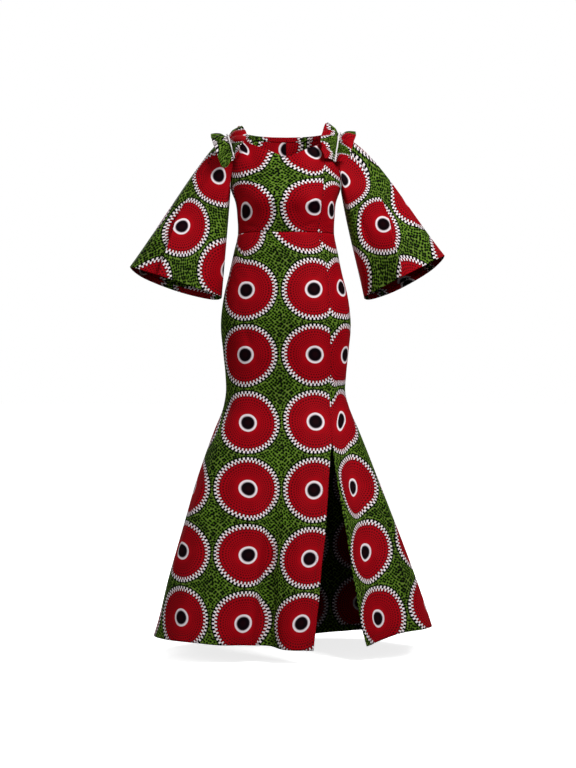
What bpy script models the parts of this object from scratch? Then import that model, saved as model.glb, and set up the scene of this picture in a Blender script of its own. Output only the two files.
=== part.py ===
"""Floor-length wax-print dress, worn form, built as the panels that a dressmaker cuts and sews.

Frame: metres, +Z up, +X to the wearer's left, the front faces -Y. The origin is midway between the
two shoulder seams, where the wearer's shoulders carry the dress. Every panel is a grid of points on
the worn form, given its thickness by a Solidify modifier.
"""

import math

import bmesh
import bpy
import numpy as np

MM = 0.001
WALL = 1.8 * MM  # cloth wall, thicker than the 0.3 mm cotton so that it is a solid body
BOW_WALL = 1.4 * MM
SHOULDER_GAP = 0.15  # added at the shoulder seams, where the panels meet over a curve, in mm
SEAM_GAP = 0.4 * MM  # clearance between two sewn pieces
CORD_RADIUS = 1.3 * MM

# Heights of the main lines, in mm from the shoulders
WAIST = -254.0
UNDERARM = -135.0
SLIT_TOP = -777.0

# The worn form, as level sections. Columns, in mm: height, half width to the wearer's right and
# left, depth to the front and back of the side seams, and how square the front half is (2 is an
# ellipse, more is squarer).
SECTIONS = (
    (-1340, 352, 392, 240, 306, 3.7),
    (-1263, 327, 370, 228, 290, 3.7),
    (-1140, 299, 329, 204, 262, 3.6),
    (-1014, 265, 285, 176, 228, 3.4),
    (-890, 231, 239, 147, 184, 3.0),
    (-765, 187, 190, 119, 136, 2.5),
    (-700, 162, 163, 104, 113, 2.3),
    (-665, 156, 154, 98, 106, 2.3),
    (-620, 157, 156, 100, 112, 2.3),
    (-560, 163, 162, 106, 123, 2.3),
    (-490, 169, 168, 110, 131, 2.3),
    (-420, 162, 161, 110, 127, 2.3),
    (-350, 146, 144, 105, 112, 2.3),
    (-300, 135, 134, 99, 97, 2.3),
    (-254, 125, 125, 93, 85, 2.3),
    (-210, 126, 126, 104, 91, 2.3),
    (-170, 131, 130, 118, 98, 2.3),
    (-135, 144, 142, 112, 99, 2.3),
    (-100, 150, 148, 99, 98, 2.3),
)
BACK_SQUARENESS = 2.3

# Waist ease over the bust: two soft mounds added to the front
BUST = {"across": 72.0, "height": -172.0, "spread": 40.0, "rise": 46.0, "depth": 9.0}

# Folds of the flared skirt. Columns: turn from the front centre in degrees (positive to the
# wearer's left), half width in degrees, how far the fold stands out at the hem in mm, top height.
SKIRT_FOLDS = (
    (-76, 9, 8, -820),
    (-62, 8, -7, -860),
    (-44, 8, 8, -850),
    (-31, 5, -9, -960),
    (-11, 6.5, -36, -800),
    (5, 7, 9, -850),
    (57, 12, -18, -800),
    (80, 9, 6, -860),
    (104, 12, 14, -760),
    (126, 9, -16, -740),
    (146, 10, 14, -740),
    (168, 9, -14, -760),
    (-168, 9, -12, -760),
    (-148, 10, 15, -740),
    (-127, 9, -17, -740),
    (-105, 11, 13, -760),
    (-90, 8, -8, -800),
)

# Hem height round the skirt, in mm. Columns: turn in degrees, height.
HEM = (
    (-180, -1336),
    (-135, -1318),
    (-90, -1286),
    (-62, -1285),
    (-46, -1285),
    (-34, -1291),
    (-23, -1290),
    (-3, -1300),
    (18, -1303),
    (42, -1297),
    (49, -1282),
    (57, -1267),
    (70, -1262),
    (90, -1268),
    (135, -1310),
    (180, -1336),
)

# The seam and slit over the wearer's left leg. Columns, in mm: height, distance from the middle of
# the front panel's edge and of the side front panel's edge.
SLIT_EDGES = (
    (-1303, 68, 207),
    (-1249, 74, 191),
    (-1169, 83, 178),
    (-1088, 90, 164),
    (-1026, 98, 155),
    (-943, 104, 140),
    (-840, 111, 124),
    (-777, 116.6, 116.6),
    (-683, 113, 113),
    (-604, 115, 115),
    (-516, 113.6, 113.6),
    (-431, 109, 109),
    (-332, 103, 103),
    (-282, 89, 89),
    (-254, 82, 82),
    (-210, 88, 88),
    (-170, 93, 93),
    (-135, 97, 97),
)
SLIT_CURL = {"front": 10.0, "side": 30.0}  # how far each slit edge bends in at the hem, in mm

# Shoulder seam, from the neck to the armhole, and the two necklines from the centre to the neck
# end of that seam. Columns, in mm: across, depth, height.
SHOULDER_SEAM = ((118, 6, 11), (144, 9, 5), (168, 8, -8))
FRONT_NECKLINE = ((0, -81, -63), (29, -79, -51), (58, -73, -38), (92, -52, -24), (118, 6, 11))
BACK_NECKLINE = ((0, 80, 8), (40, 77, 8.5), (76, 66, 10), (104, 42, 12), (118, 6, 11))
NECK_SHARE = 0.72  # share of each half panel's width that the neckline takes at the top edge
FRONT_SCOOP = 0.21  # how far the armhole cuts into the front, as a share of the half panel
BACK_SCOOP = 0.14
SEAM_ON_SHOULDER = 1 / 3  # where the princess seam meets the shoulder seam, from the neck

# Grid: columns of each panel, and rows
SHOULDER_COLUMNS = 6
NECK_COLUMNS = 4  # on each side of the centre front
BACK_NECK_COLUMNS = 6
SIDE_FRONT_COLUMNS = 4
SKIRT_FRONT_COLUMNS = 22
SKIRT_SIDE_FRONT_COLUMNS = 10
SKIRT_BACK_COLUMNS = 13
UPPER_ROWS = 12
BODICE_HEIGHTS = (-254, -232, -210, -190, -170, -152, -135)
SKIRT_HEIGHTS = (
    -254, -282, -312, -350, -390, -431, -480, -530, -580, -625, -660, -690, -720, -750,
    -777, -815, -860, -910, -965, -1026, -1088, -1145, -1200, -1250, -1303,
)

# Bell sleeves. In mm: hem ends at the inner and outer silhouette, depth of the hem and its folds.
SLEEVES = {
    "right": {
        "side": -1,
        "hem_inner": (-167, -6, -416),
        "hem_outer": (-405, -2, -338),
        "hem_depth": 98.0,
        "back_drop": -20.0,
        "reach": 64.0,
        "folds": ((128, 16, 17), (84, 20, -9), (52, 16, 5), (235, 22, 14), (290, 20, -10)),
    },
    "left": {
        "side": 1,
        "hem_inner": (203, -6, -416),
        "hem_outer": (412, -2, -309),
        "hem_depth": 104.0,
        "back_drop": -24.0,
        "reach": 122.0,
        "folds": ((98, 15, 17), (60, 18, -7), (128, 14, -8), (240, 22, 13), (300, 20, -9)),
    },
}
SLEEVE_RINGS = 10  # reach, above, is how far the sleeve head carries on outwards before it falls

# Shoulder bows: one strip of cloth each, gathered under a cord that runs over the shoulder. path is
# where the cord lies on the bodice, from its end up to the shoulder seam: row of the bodice and
# share of the half panel. The two free edges are in mm, from the front end to the back end:
# place along the cord, across, depth, height.
BOWS = {
    "right": {
        "side": -1,
        "path": ((0.385, 0.725), (0.53, 0.78), (0.685, 0.84), (1.0, 0.90)),
        "inner": (
            (-1.0, 126, -62, -62),
            (-0.7, 112, -66, -24),
            (-0.4, 101, -52, -9),
            (-0.1, 104, -24, 12),
            (0.2, 117, -2, 28),
            (0.5, 128, 34, 26),
            (0.8, 122, 66, 4),
            (1.0, 116, 88, -30),
        ),
        "outer": (
            (-1.0, 150, -72, -86),
            (-0.8, 164, -70, -87),
            (-0.55, 175, -60, -58),
            (-0.3, 187, -38, -26),
            (-0.05, 195, -12, 0),
            (0.25, 192, 16, 4),
            (0.55, 184, 48, -14),
            (0.8, 174, 68, -40),
            (1.0, 158, 82, -60),
        ),
    },
    "left": {
        "side": 1,
        "path": ((0.355, 0.68), (0.575, 0.755), (0.76, 0.795), (1.0, 0.835)),
        "inner": (
            (-1.0, 97, -88, -66),
            (-0.7, 90, -80, -36),
            (-0.45, 89, -64, -12),
            (-0.2, 94, -32, 8),
            (0.05, 102, 0, 34),
            (0.35, 121, 32, 32),
            (0.7, 116, 66, 8),
            (1.0, 106, 92, -28),
        ),
        "outer": (
            (-1.0, 150, -72, -76),
            (-0.7, 166, -66, -52),
            (-0.4, 172, -46, -26),
            (-0.15, 181, -18, -2),
            (0.1, 181, 8, 12),
            (0.4, 176, 36, 2),
            (0.75, 166, 62, -24),
            (1.0, 150, 78, -50),
        ),
    },
}
BOW_ROWS = 17
BOW_HALF_COLUMNS = 4
BOW_PLEATS = 3.0  # waves of the gathered cloth along the cord
BOW_PLEAT_DEPTH = 5.0
BOW_FLAT = 4.6  # how far the strip lies flat on each side under the cord
END_LIFT = 1.6  # extra lift at both ends, where the bodice hollows towards the armhole
BOW_ARCH = 0.12  # how far each wing arches up, as a share of its width
CORD_SIDES = 6

CLOTH_RED = (0.36, 0.012, 0.02, 1.0)
CLOTH_GREEN = (0.09, 0.16, 0.03, 1.0)
CORD_WHITE = (0.85, 0.82, 0.82, 1.0)


# ---------------------------------------------------------------- curves and the worn form


def spline(at, knots, values):
    """Smooth curve through values at rising knots, its slope at each knot taken from both sides."""
    knots = np.asarray(knots, float)
    values = np.asarray(values, float)
    slopes = np.gradient(values, knots, axis=0)
    at = np.clip(np.asarray(at, float), knots[0], knots[-1])
    low = np.clip(np.searchsorted(knots, at, side="right") - 1, 0, len(knots) - 2)
    span = knots[low + 1] - knots[low]
    t = (at - knots[low]) / span
    if values.ndim > 1:
        span = span[..., None]
        t = t[..., None]
    rise = values[low + 1] - values[low]
    near = slopes[low] * span - rise
    far = rise - slopes[low + 1] * span
    return values[low] + rise * t + t * (1 - t) * (near * (1 - t) + far * t)


def table_spline(at, rows):
    """Smooth curve through a table whose first column is where each row lies."""
    data = np.array(sorted(rows), float)
    return spline(at, data[:, 0], data[:, 1:])


def curve_by_length(at, points):
    """Smooth curve through points, read at 0 to 1 of the way along it by chord length."""
    points = np.array(points, float)
    steps = np.linalg.norm(np.diff(points, axis=0), axis=1)
    knots = np.concatenate([[0], np.cumsum(steps)]) / steps.sum()
    return spline(at, knots, points)


def smooth_step(value):
    value = np.clip(value, 0, 1)
    return value * value * (3 - 2 * value)


def bell(value):
    return np.exp(-value * value)


def form_point(turn, height):
    """Point of the worn form in mm. turn is in degrees from the centre front, positive to +X."""
    turn, height = np.broadcast_arrays(np.asarray(turn, float), np.asarray(height, float))
    sizes = table_spline(height, SECTIONS)
    sin, cos = np.sin(np.radians(turn)), np.cos(np.radians(turn))
    half_width = np.where(sin < 0, sizes[..., 0], sizes[..., 1])
    half_depth = np.where(cos > 0, sizes[..., 2], sizes[..., 3])
    power = np.where(cos > 0, sizes[..., 4], BACK_SQUARENESS)
    radius = (np.abs(sin / half_width) ** power + np.abs(cos / half_depth) ** power) ** (-1 / power)
    for place, width, stand, top in SKIRT_FOLDS:
        away = (turn - place + 180) % 360 - 180
        fall = np.clip((top - height) / (top - HEM[0][1]), 0, None)
        radius = radius + stand * bell(away / width) * fall**1.3
    across = radius * sin
    depth = -radius * cos
    mound = bell((np.abs(across) - BUST["across"]) / BUST["spread"])
    mound = mound * bell((height - BUST["height"]) / BUST["rise"]) * smooth_step(cos * 2)
    return np.stack([across, depth - BUST["depth"] * mound, height], axis=-1)


def turn_at(across, height):
    """Turn in degrees at which the front of the form is that far from the middle, on the +X side."""
    sizes = table_spline(height, SECTIONS)
    power = sizes[..., 4]
    share = np.clip(np.asarray(across, float) / sizes[..., 1], 0, 1)
    depth = sizes[..., 2] * (1 - share**power) ** (1 / power)
    return np.degrees(np.arctan2(across, depth))


def slit_turns(height):
    """Turns of the front panel's and the side front panel's edge at these heights."""
    edges = table_spline(height, SLIT_EDGES)
    front = edges[..., 0]
    side_front = front + np.clip(edges[..., 1] - front, 0, None)
    return turn_at(front, height), turn_at(side_front, height)


# ---------------------------------------------------------------- bodice


def shoulder_point(share):
    """Shoulder seam of the wearer's left, from the neck at 0 to the armhole at 1."""
    return curve_by_length(share, SHOULDER_SEAM)


def top_edge(u, neckline):
    """Top edge of a half body. u is -1 at one armhole, 0 at the centre and 1 at the other."""
    size = np.abs(u)
    on_neck = curve_by_length(np.clip(size / NECK_SHARE, 0, 1), neckline)
    on_seam = shoulder_point(np.clip((size - NECK_SHARE) / (1 - NECK_SHARE), 0, 1))
    point = np.where((size < NECK_SHARE)[..., None], on_neck, on_seam)
    point[..., 0] *= np.where(u < 0, -1, 1)
    return point


def upper_point(u, v, back):
    """Point above the underarm in mm: v is 0 at the underarm level and 1 at the top edge.

    Each column leaves the form in its own direction, and reaches the shoulder seam level with
    the ground and the neckline leaning with the chest.
    """
    u, v = np.broadcast_arrays(np.asarray(u, float), np.asarray(v, float))
    turn = 180 - 90 * u if back else 90 * u
    start = form_point(turn, UNDERARM)
    rise = form_point(turn, UNDERARM + 6) - start
    end = top_edge(u, BACK_NECKLINE if back else FRONT_NECKLINE)
    length = np.linalg.norm(end - start, axis=-1, keepdims=True)
    leave = rise / np.linalg.norm(rise, axis=-1, keepdims=True) * length
    on_seam = smooth_step((np.abs(u) / NECK_SHARE - 0.55) / 0.45)[..., None]
    lean = np.array([0, -0.12, 1.0]) if back else np.array([0, 0.42, 0.9])
    over = np.array([0, -1.0, 0.05]) if back else np.array([0, 1.0, 0.05])
    arrive = (lean * (1 - on_seam) + over * on_seam) * length
    t = v[..., None]
    return (
        start * (1 + 2 * t) * (1 - t) ** 2
        + leave * t * (1 - t) ** 2
        + end * t * t * (3 - 2 * t)
        - arrive * t * t * (1 - t)
    )


def upper_rows():
    """Rows of the upper bodice: 0 at the underarm, 1 at the top edge, closest together there."""
    return 1 - (1 - np.linspace(0, 1, UPPER_ROWS + 1)) ** 1.45


def armhole_share(v, scoop):
    """How far the armhole cuts in at row v: nothing at both ends, most below the middle."""
    return scoop * np.sin(np.pi * v**0.72) ** 0.8


def panel_shares(v, level, top):
    """Columns of a panel at row v, going from even spacing at the underarm to the top edge's own."""
    return level + (top - level) * smooth_step(v)


def seam_share(v):
    """Where the princess seam lies above the underarm, as a share of the half body."""
    level = float(slit_turns(UNDERARM)[0]) / 90
    top = NECK_SHARE + (1 - NECK_SHARE) * SEAM_ON_SHOULDER
    return level + (top - level) * np.clip((v - 0.35) / 0.65, 0, 1) ** 1.6


def front_top_shares():
    """Shares along the top edge of the front: shoulder, both halves of the neckline, shoulder."""
    outer = np.linspace(-1, -NECK_SHARE, SHOULDER_COLUMNS + 1)
    neck = np.linspace(-NECK_SHARE, NECK_SHARE, 2 * NECK_COLUMNS + 1)
    inner = np.linspace(NECK_SHARE, float(seam_share(1.0)), 3)
    every = np.concatenate([outer, neck[1:], inner[1:]])
    return (every + 1) / (every[-1] + 1)


def back_top_shares():
    """Shares along the top edge of a half back, from the centre seam to the armhole."""
    neck = np.linspace(0, NECK_SHARE, BACK_NECK_COLUMNS + 1)
    outer = np.linspace(NECK_SHARE, 1, SHOULDER_COLUMNS + 1)
    return np.concatenate([neck, outer[1:]])


def bodice_front():
    """Front bodice, from the wearer's right side seam to the princess seam on the left."""
    top = front_top_shares()
    level = np.linspace(0, 1, len(top))
    rows = []
    for height in BODICE_HEIGHTS:
        edge = float(slit_turns(height)[0])
        rows.append(form_point(-90 + (edge + 90) * level, height))
    for v in upper_rows()[1:]:
        left = -1 + armhole_share(v, FRONT_SCOOP)
        share = left + (seam_share(v) - left) * panel_shares(v, level, top)
        rows.append(upper_point(share, v, back=False))
    return np.array(rows)


def bodice_side_front():
    """Side front bodice, from the princess seam to the side seam and armhole on the left."""
    level = np.linspace(0, 1, SIDE_FRONT_COLUMNS + 1)
    rows = []
    for height in BODICE_HEIGHTS:
        edge = float(slit_turns(height)[1])
        rows.append(form_point(edge + (90 - edge) * level, height))
    for v in upper_rows()[1:]:
        right = 1 - armhole_share(v, FRONT_SCOOP)
        rows.append(upper_point(seam_share(v) + (right - seam_share(v)) * level, v, back=False))
    return np.array(rows)


def bodice_back(side):
    """Half of the back bodice, from the centre back seam to the side seam and armhole."""
    top = back_top_shares()
    level = np.linspace(0, 1, len(top))
    rows = [form_point(side * (180 - 90 * level), height) for height in BODICE_HEIGHTS]
    for v in upper_rows()[1:]:
        reach = 1 - armhole_share(v, BACK_SCOOP)
        share = reach * panel_shares(v, level, top)
        rows.append(upper_point(side * share, v, back=True))
    return np.array(rows)


# ---------------------------------------------------------------- skirt


def row_heights(turns):
    """Height of each row in each column: the rows are spread so that the last one is the hem."""
    hem = table_spline(turns, HEM)[..., 0]
    share = (np.array(SKIRT_HEIGHTS, float) - WAIST) / (SKIRT_HEIGHTS[-1] - WAIST)
    return WAIST + (hem[None, :] - WAIST) * share[:, None]


def curled(points, share, amount):
    """Bends a slit edge inwards, more towards the hem. share is 1 at the edge."""
    fall = np.clip((SLIT_TOP - points[..., 2]) / (SLIT_TOP - SKIRT_HEIGHTS[-1]), 0, None)
    points = points.copy()
    points[..., 1] += amount * fall * smooth_step(share) ** 1.2
    return points


def skirt_front():
    """Front skirt, from the wearer's right side seam to the slit."""
    level = np.linspace(0, 1, SKIRT_FRONT_COLUMNS + 1)
    heights = row_heights(-90 + (float(slit_turns(SKIRT_HEIGHTS[-1])[0]) + 90) * level)
    edge = slit_turns(heights[:, -1])[0][:, None]
    points = form_point(-90 + (edge + 90) * level[None, :], heights)
    return curled(points, (level[None, :] - 0.80) / 0.20, SLIT_CURL["front"])


def skirt_side_front():
    """Side front skirt, from the slit to the side seam on the wearer's left.

    Its rows start level with the front's down to the top of the slit, and part from them below it.
    """
    level = np.linspace(0, 1, SKIRT_SIDE_FRONT_COLUMNS + 1)
    front_edge, hem_edge = (float(turn) for turn in slit_turns(SKIRT_HEIGHTS[-1]))
    heights = row_heights(hem_edge + (90 - hem_edge) * level)
    hem_height = SKIRT_HEIGHTS[-1]
    above_hem = (np.array(SKIRT_HEIGHTS, float) - hem_height) / (SLIT_TOP - hem_height)
    joined = np.clip(above_hem, 0, 1)[:, None] * (1 - smooth_step(level / 0.35))
    heights = heights + (row_heights(np.array([front_edge])) - heights) * joined
    edge = slit_turns(heights[:, 0])[1][:, None]
    points = form_point(edge + (90 - edge) * level[None, :], heights)
    return curled(points, 1 - level[None, :] / 0.5, SLIT_CURL["side"])


def skirt_back(side):
    """Half of the back skirt, from the centre back seam to the side seam."""
    level = np.linspace(0, 1, SKIRT_BACK_COLUMNS + 1)
    turns = side * (180 - 90 * level)
    return form_point(turns[None, :], row_heights(turns))


# ---------------------------------------------------------------- sleeves


def armhole_loop(side):
    """Closed loop of the armhole, from the underarm up the front, over and down the back."""
    v = upper_rows()
    front = upper_point(side * (1 - armhole_share(v, FRONT_SCOOP)), v, back=False)
    back = upper_point(side * (1 - armhole_share(v, BACK_SCOOP)), v, back=True)
    return np.concatenate([front, back[-2:0:-1]])


def armhole_outward(side):
    """At each point of that loop, the direction in which the bodice would carry on."""
    v = upper_rows()
    inside = 0.04
    found = []
    for scoop, back in ((FRONT_SCOOP, False), (BACK_SCOOP, True)):
        share = 1 - armhole_share(v, scoop)
        edge = upper_point(side * share, v, back=back)
        found.append(edge - upper_point(side * (share - inside), v, back=back))
    outward = np.concatenate([found[0], found[1][-2:0:-1]])
    outward[0] = (0, 0, 1)
    return outward / np.linalg.norm(outward, axis=-1, keepdims=True)


def sleeve(spec):
    """Bell sleeve: rings from the armhole to the hem, with soft folds that grow towards the hem."""
    side = spec["side"]
    loop = armhole_loop(side)
    count = len(loop)
    around = np.arange(count) / count * 360
    inner = np.array(spec["hem_inner"], float)
    outer = np.array(spec["hem_outer"], float)
    middle = (inner + outer) / 2
    half = (inner - outer) / 2
    cos, sin = np.cos(np.radians(around)), np.sin(np.radians(around))
    swell = np.zeros(count)
    for place, width, stand in spec["folds"]:
        swell = swell + stand * bell(((around - place + 180) % 360 - 180) / width)
    radial = cos[:, None] * half / np.linalg.norm(half) + sin[:, None] * np.array([0, -1.0, 0])
    hem = middle + cos[:, None] * half
    hem = hem + sin[:, None] * np.array([0, -spec["hem_depth"], 0])
    hem = hem + np.clip(-sin, 0, None)[:, None] * np.array([0, 0, spec["back_drop"]])
    top = (1 - cos) / 2  # 0 at the underarm, 1 at the shoulder
    fall = hem - loop
    fall_length = np.linalg.norm(fall, axis=-1, keepdims=True)
    outward = armhole_outward(side)
    drop = np.array([side * 0.02, 0, -1.0])
    head = (outward * top[:, None] + drop * (1 - top[:, None])) * spec["reach"] * 2.2
    leave = head * (0.35 + 0.65 * top[:, None]) + fall * (1 - top[:, None]) * 0.7
    start = loop + seam_offset(outward, fall / fall_length, side)
    rings = []
    for t in np.linspace(0, 1, SLEEVE_RINGS + 1):
        ring = start * (1 + 2 * t) * (1 - t) ** 2 + leave * t * (1 - t) ** 2
        ring = ring + hem * t * t * (3 - 2 * t) - fall * 1.02 * t * t * (1 - t)
        rings.append(ring + radial * (swell * t**1.2)[:, None])
    return np.array(rings)


def seam_offset(outward, away, side):
    """Moves a sleeve's first ring clear of the bodice: past its edge, and beside it underarm."""
    bend = np.arccos(np.clip((outward * away).sum(-1), -1, 1))[:, None]
    half_wall = WALL / MM / 2
    gap = SEAM_GAP / MM
    past = outward * (gap + half_wall * np.sin(bend))
    beside = np.array([side, 0, 0]) * (half_wall + 2 * gap) * (1 - np.cos(bend))
    return past + beside


# ---------------------------------------------------------------- bows and cords


def cord_line(spec, place, lift):
    """Line over the shoulder, lifted off the bodice. place is -1 at the front end, 1 at the back."""
    reach = 1 - np.abs(place)
    row, share = curve_by_length(reach, spec["path"]).T
    lift = lift + END_LIFT * smooth_step((np.abs(place) - 0.5) / 0.4)[:, None]
    out = []
    for du, dv in ((0, 0), (0.01, 0), (0, -0.01)):
        front = upper_point(spec["side"] * (share + du), row + dv, back=False)
        back = upper_point(spec["side"] * (share + du), row + dv, back=True)
        out.append(np.where((place < 0)[:, None], front, back))
    along_u = out[1] - out[0]
    along_v = out[2] - out[0]
    normal = np.cross(along_u, along_v)
    normal /= np.linalg.norm(normal, axis=1, keepdims=True)
    flip = np.where(normal[:, 0] * spec["side"] + normal[:, 2] < 0, -1, 1)
    return out[0] + normal * flip[:, None] * lift


def cord_frame(spec, place, lift):
    """The cord's line with, at each place, the directions along it, to its outer side and up."""
    middle = cord_line(spec, place, lift)
    along = np.gradient(middle, axis=0)
    along /= np.linalg.norm(along, axis=1, keepdims=True)
    aside = np.cross(along, cord_line(spec, place, lift + 1) - middle)
    aside /= np.linalg.norm(aside, axis=1, keepdims=True)
    aside *= np.where(aside[:, :1] * spec["side"] < 0, -1, 1)
    up = np.cross(aside, along)
    up *= np.where((up * (cord_line(spec, place, lift + 1) - middle)).sum(1) < 0, -1, 1)[:, None]
    return middle, along, aside, up


def bow(spec):
    """Gathered strip: rows along the cord, columns from the inner free edge to the outer one."""
    place = np.linspace(-1, 1, BOW_ROWS + 1)
    base, along, aside, up = cord_frame(spec, place, WALL / MM / 2 + BOW_WALL / MM / 2 + 1.2)
    halves = []
    for name, way, phase in (("inner", -1, 0.6), ("outer", 1, 2.2)):
        edge = table_spline(place, spec[name]) * np.array([spec["side"], 1, 1])
        root = base + aside * way * BOW_FLAT
        t = np.linspace(0, 1, BOW_HALF_COLUMNS)[None, :, None]
        reach = edge - root
        arch = up * np.linalg.norm(reach, axis=1)[:, None] * BOW_ARCH
        wave = np.sin(place * np.pi * BOW_PLEATS + phase)
        normal = np.cross(along, reach)
        normal /= np.linalg.norm(normal, axis=1, keepdims=True)
        ripple = (normal * wave[:, None])[:, None, :] * BOW_PLEAT_DEPTH * t
        sheet = root[:, None, :] + reach[:, None, :] * t + arch[:, None, :] * 4 * t * (1 - t)
        halves.append(sheet + ripple)
    return np.concatenate([halves[0][:, ::-1], base[:, None], halves[1]], axis=1)


def cord(spec):
    """Rings of the round cord that holds the bow down."""
    place = np.linspace(-1, 1, BOW_ROWS + 1)
    lift = WALL / MM / 2 + BOW_WALL / MM + 1.2 + 0.8 + CORD_RADIUS / MM
    middle, along, aside, up = cord_frame(spec, place, lift)
    turns = np.arange(CORD_SIDES) / CORD_SIDES * 2 * np.pi
    ring = np.cos(turns)[None, :, None] * aside[:, None] + np.sin(turns)[None, :, None] * up[:, None]
    return middle[:, None] + ring * CORD_RADIUS / MM


# ---------------------------------------------------------------- making the objects


def seam_inset(points, closed, top_gap):
    """Draws the border of a grid in by half the seam gap, square to the border and in the cloth."""
    points = points.copy()
    half_gap = SEAM_GAP / MM / 2 * 1.1

    def draw_in(border, neighbour, gap=half_gap):
        along = np.gradient(border, axis=0)
        along /= np.linalg.norm(along, axis=1, keepdims=True)
        inward = neighbour - border
        inward -= along * (inward * along).sum(1, keepdims=True)
        inward /= np.linalg.norm(inward, axis=1, keepdims=True)
        return border + inward * gap

    points[0] = draw_in(points[0], points[1].copy())
    points[-1] = draw_in(points[-1], points[-2].copy(), half_gap + top_gap)
    if not closed:
        points[:, 0] = draw_in(points[:, 0], points[:, 1].copy())
        points[:, -1] = draw_in(points[:, -1], points[:, -2].copy())
    return points


def plain_material(name, colour, roughness):
    material = bpy.data.materials.new(name)
    material.use_nodes = True
    shader = material.node_tree.nodes["Principled BSDF"]
    shader.inputs["Base Color"].default_value = colour
    shader.inputs["Roughness"].default_value = roughness
    shader.inputs["Metallic"].default_value = 0.0
    material.diffuse_color = colour
    return material


def cloth_panel(name, points, colour, closed=False, wall=WALL, top_gap=0.0):
    """One cloth piece: a grid of points in mm made into a wall of even thickness."""
    grid = seam_inset(points, closed, top_gap) * MM
    rows, columns = grid.shape[:2]
    index = np.arange(rows * columns).reshape(rows, columns)
    if closed:
        index = np.concatenate([index, index[:, :1]], axis=1)
    corners = (index[:-1, :-1], index[:-1, 1:], index[1:, 1:], index[1:, :-1])
    faces = np.stack(corners, axis=-1).reshape(-1, 4)
    mesh = bpy.data.meshes.new(name)
    mesh.from_pydata(grid.reshape(-1, 3).tolist(), [], faces.tolist())
    mesh.shade_smooth()
    mesh.set_sharp_from_angle(angle=math.radians(50))
    piece = bpy.data.objects.new(name, mesh)
    bpy.context.scene.collection.objects.link(piece)
    thickness = piece.modifiers.new("cloth wall", "SOLIDIFY")
    thickness.thickness = wall
    thickness.offset = 0.0
    piece.data.materials.append(plain_material(name + "_cotton", colour, 0.62))
    return piece


def cord_piece(name, rings):
    """Closed round cord from its rings, with flat ends."""
    count, sides = rings.shape[:2]
    index = np.arange(count * sides).reshape(count, sides)
    index = np.concatenate([index, index[:, :1]], axis=1)
    corners = (index[:-1, :-1], index[1:, :-1], index[1:, 1:], index[:-1, 1:])
    faces = np.stack(corners, axis=-1).reshape(-1, 4).tolist()
    faces.append(index[0, :-1].tolist())
    faces.append(index[-1, -2::-1].tolist())
    mesh = bpy.data.meshes.new(name)
    mesh.from_pydata((rings * MM).reshape(-1, 3).tolist(), [], faces)
    shape = bmesh.new()
    shape.from_mesh(mesh)
    bmesh.ops.recalc_face_normals(shape, faces=shape.faces)
    shape.to_mesh(mesh)
    shape.free()
    mesh.shade_smooth()
    mesh.set_sharp_from_angle(angle=math.radians(50))
    piece = bpy.data.objects.new(name, mesh)
    bpy.context.scene.collection.objects.link(piece)
    piece.data.materials.append(plain_material(name + "_cotton_cord", CORD_WHITE, 0.7))
    return piece


def clear_scene():
    for old in list(bpy.data.objects):
        bpy.data.objects.remove(old, do_unlink=True)


def main():
    clear_scene()
    cloth_panel("bodice_front", bodice_front(), CLOTH_RED, top_gap=SHOULDER_GAP)
    cloth_panel("bodice_side_front", bodice_side_front(), CLOTH_RED, top_gap=SHOULDER_GAP)
    cloth_panel("skirt_front", skirt_front(), CLOTH_RED)
    cloth_panel("skirt_side_front", skirt_side_front(), CLOTH_RED)
    for label, side in (("right", -1), ("left", 1)):
        cloth_panel(f"bodice_back_{label}", bodice_back(side), CLOTH_RED, top_gap=SHOULDER_GAP)
        cloth_panel(f"skirt_back_{label}", skirt_back(side), CLOTH_RED)
        cloth_panel(f"sleeve_{label}", sleeve(SLEEVES[label]), CLOTH_GREEN, closed=True)
        cloth_panel(f"bow_{label}", bow(BOWS[label]), CLOTH_GREEN, wall=BOW_WALL)
        cord_piece(f"bow_cord_{label}", cord(BOWS[label]))


main()
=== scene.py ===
"""Looks of a floor-length wax-print dress in its worn form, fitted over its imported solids.

Frame: metres, +Z up, +X to the wearer's left, the front faces -Y. Every cloth panel is a thin
sheet that lies on its own solid, cut from printed cotton whose pattern lies flat in the cloth.
"""

import logging
import math
from dataclasses import dataclass
from enum import Enum

import bpy
import numpy as np
from bpy.types import Material, Node, NodeSocket, World
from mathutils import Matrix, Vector


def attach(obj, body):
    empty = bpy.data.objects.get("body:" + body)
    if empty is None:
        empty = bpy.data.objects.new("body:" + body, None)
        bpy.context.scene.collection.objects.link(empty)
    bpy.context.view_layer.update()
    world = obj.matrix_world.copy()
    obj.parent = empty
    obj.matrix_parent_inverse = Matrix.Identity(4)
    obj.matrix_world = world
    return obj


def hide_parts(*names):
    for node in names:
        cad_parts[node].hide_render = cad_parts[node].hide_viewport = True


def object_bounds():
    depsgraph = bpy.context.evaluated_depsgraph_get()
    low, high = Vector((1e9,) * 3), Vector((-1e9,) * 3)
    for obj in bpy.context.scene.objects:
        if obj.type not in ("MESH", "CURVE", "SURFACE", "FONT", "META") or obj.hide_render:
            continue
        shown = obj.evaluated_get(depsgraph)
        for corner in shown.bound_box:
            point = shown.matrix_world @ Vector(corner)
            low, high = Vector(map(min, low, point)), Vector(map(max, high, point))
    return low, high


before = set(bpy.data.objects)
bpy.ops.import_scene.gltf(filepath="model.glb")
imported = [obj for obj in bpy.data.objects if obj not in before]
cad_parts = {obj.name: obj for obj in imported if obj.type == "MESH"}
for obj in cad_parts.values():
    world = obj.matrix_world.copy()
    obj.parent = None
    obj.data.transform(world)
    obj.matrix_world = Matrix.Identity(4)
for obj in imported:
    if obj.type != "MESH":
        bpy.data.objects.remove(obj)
cad_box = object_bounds()

log = logging.getLogger("dress")
Array = np.ndarray
MM = 0.001
WAIST, UNDERARM, SLIT_TOP, HEM_LEVEL = -254.0, -135.0, -777.0, -1303.0


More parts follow.
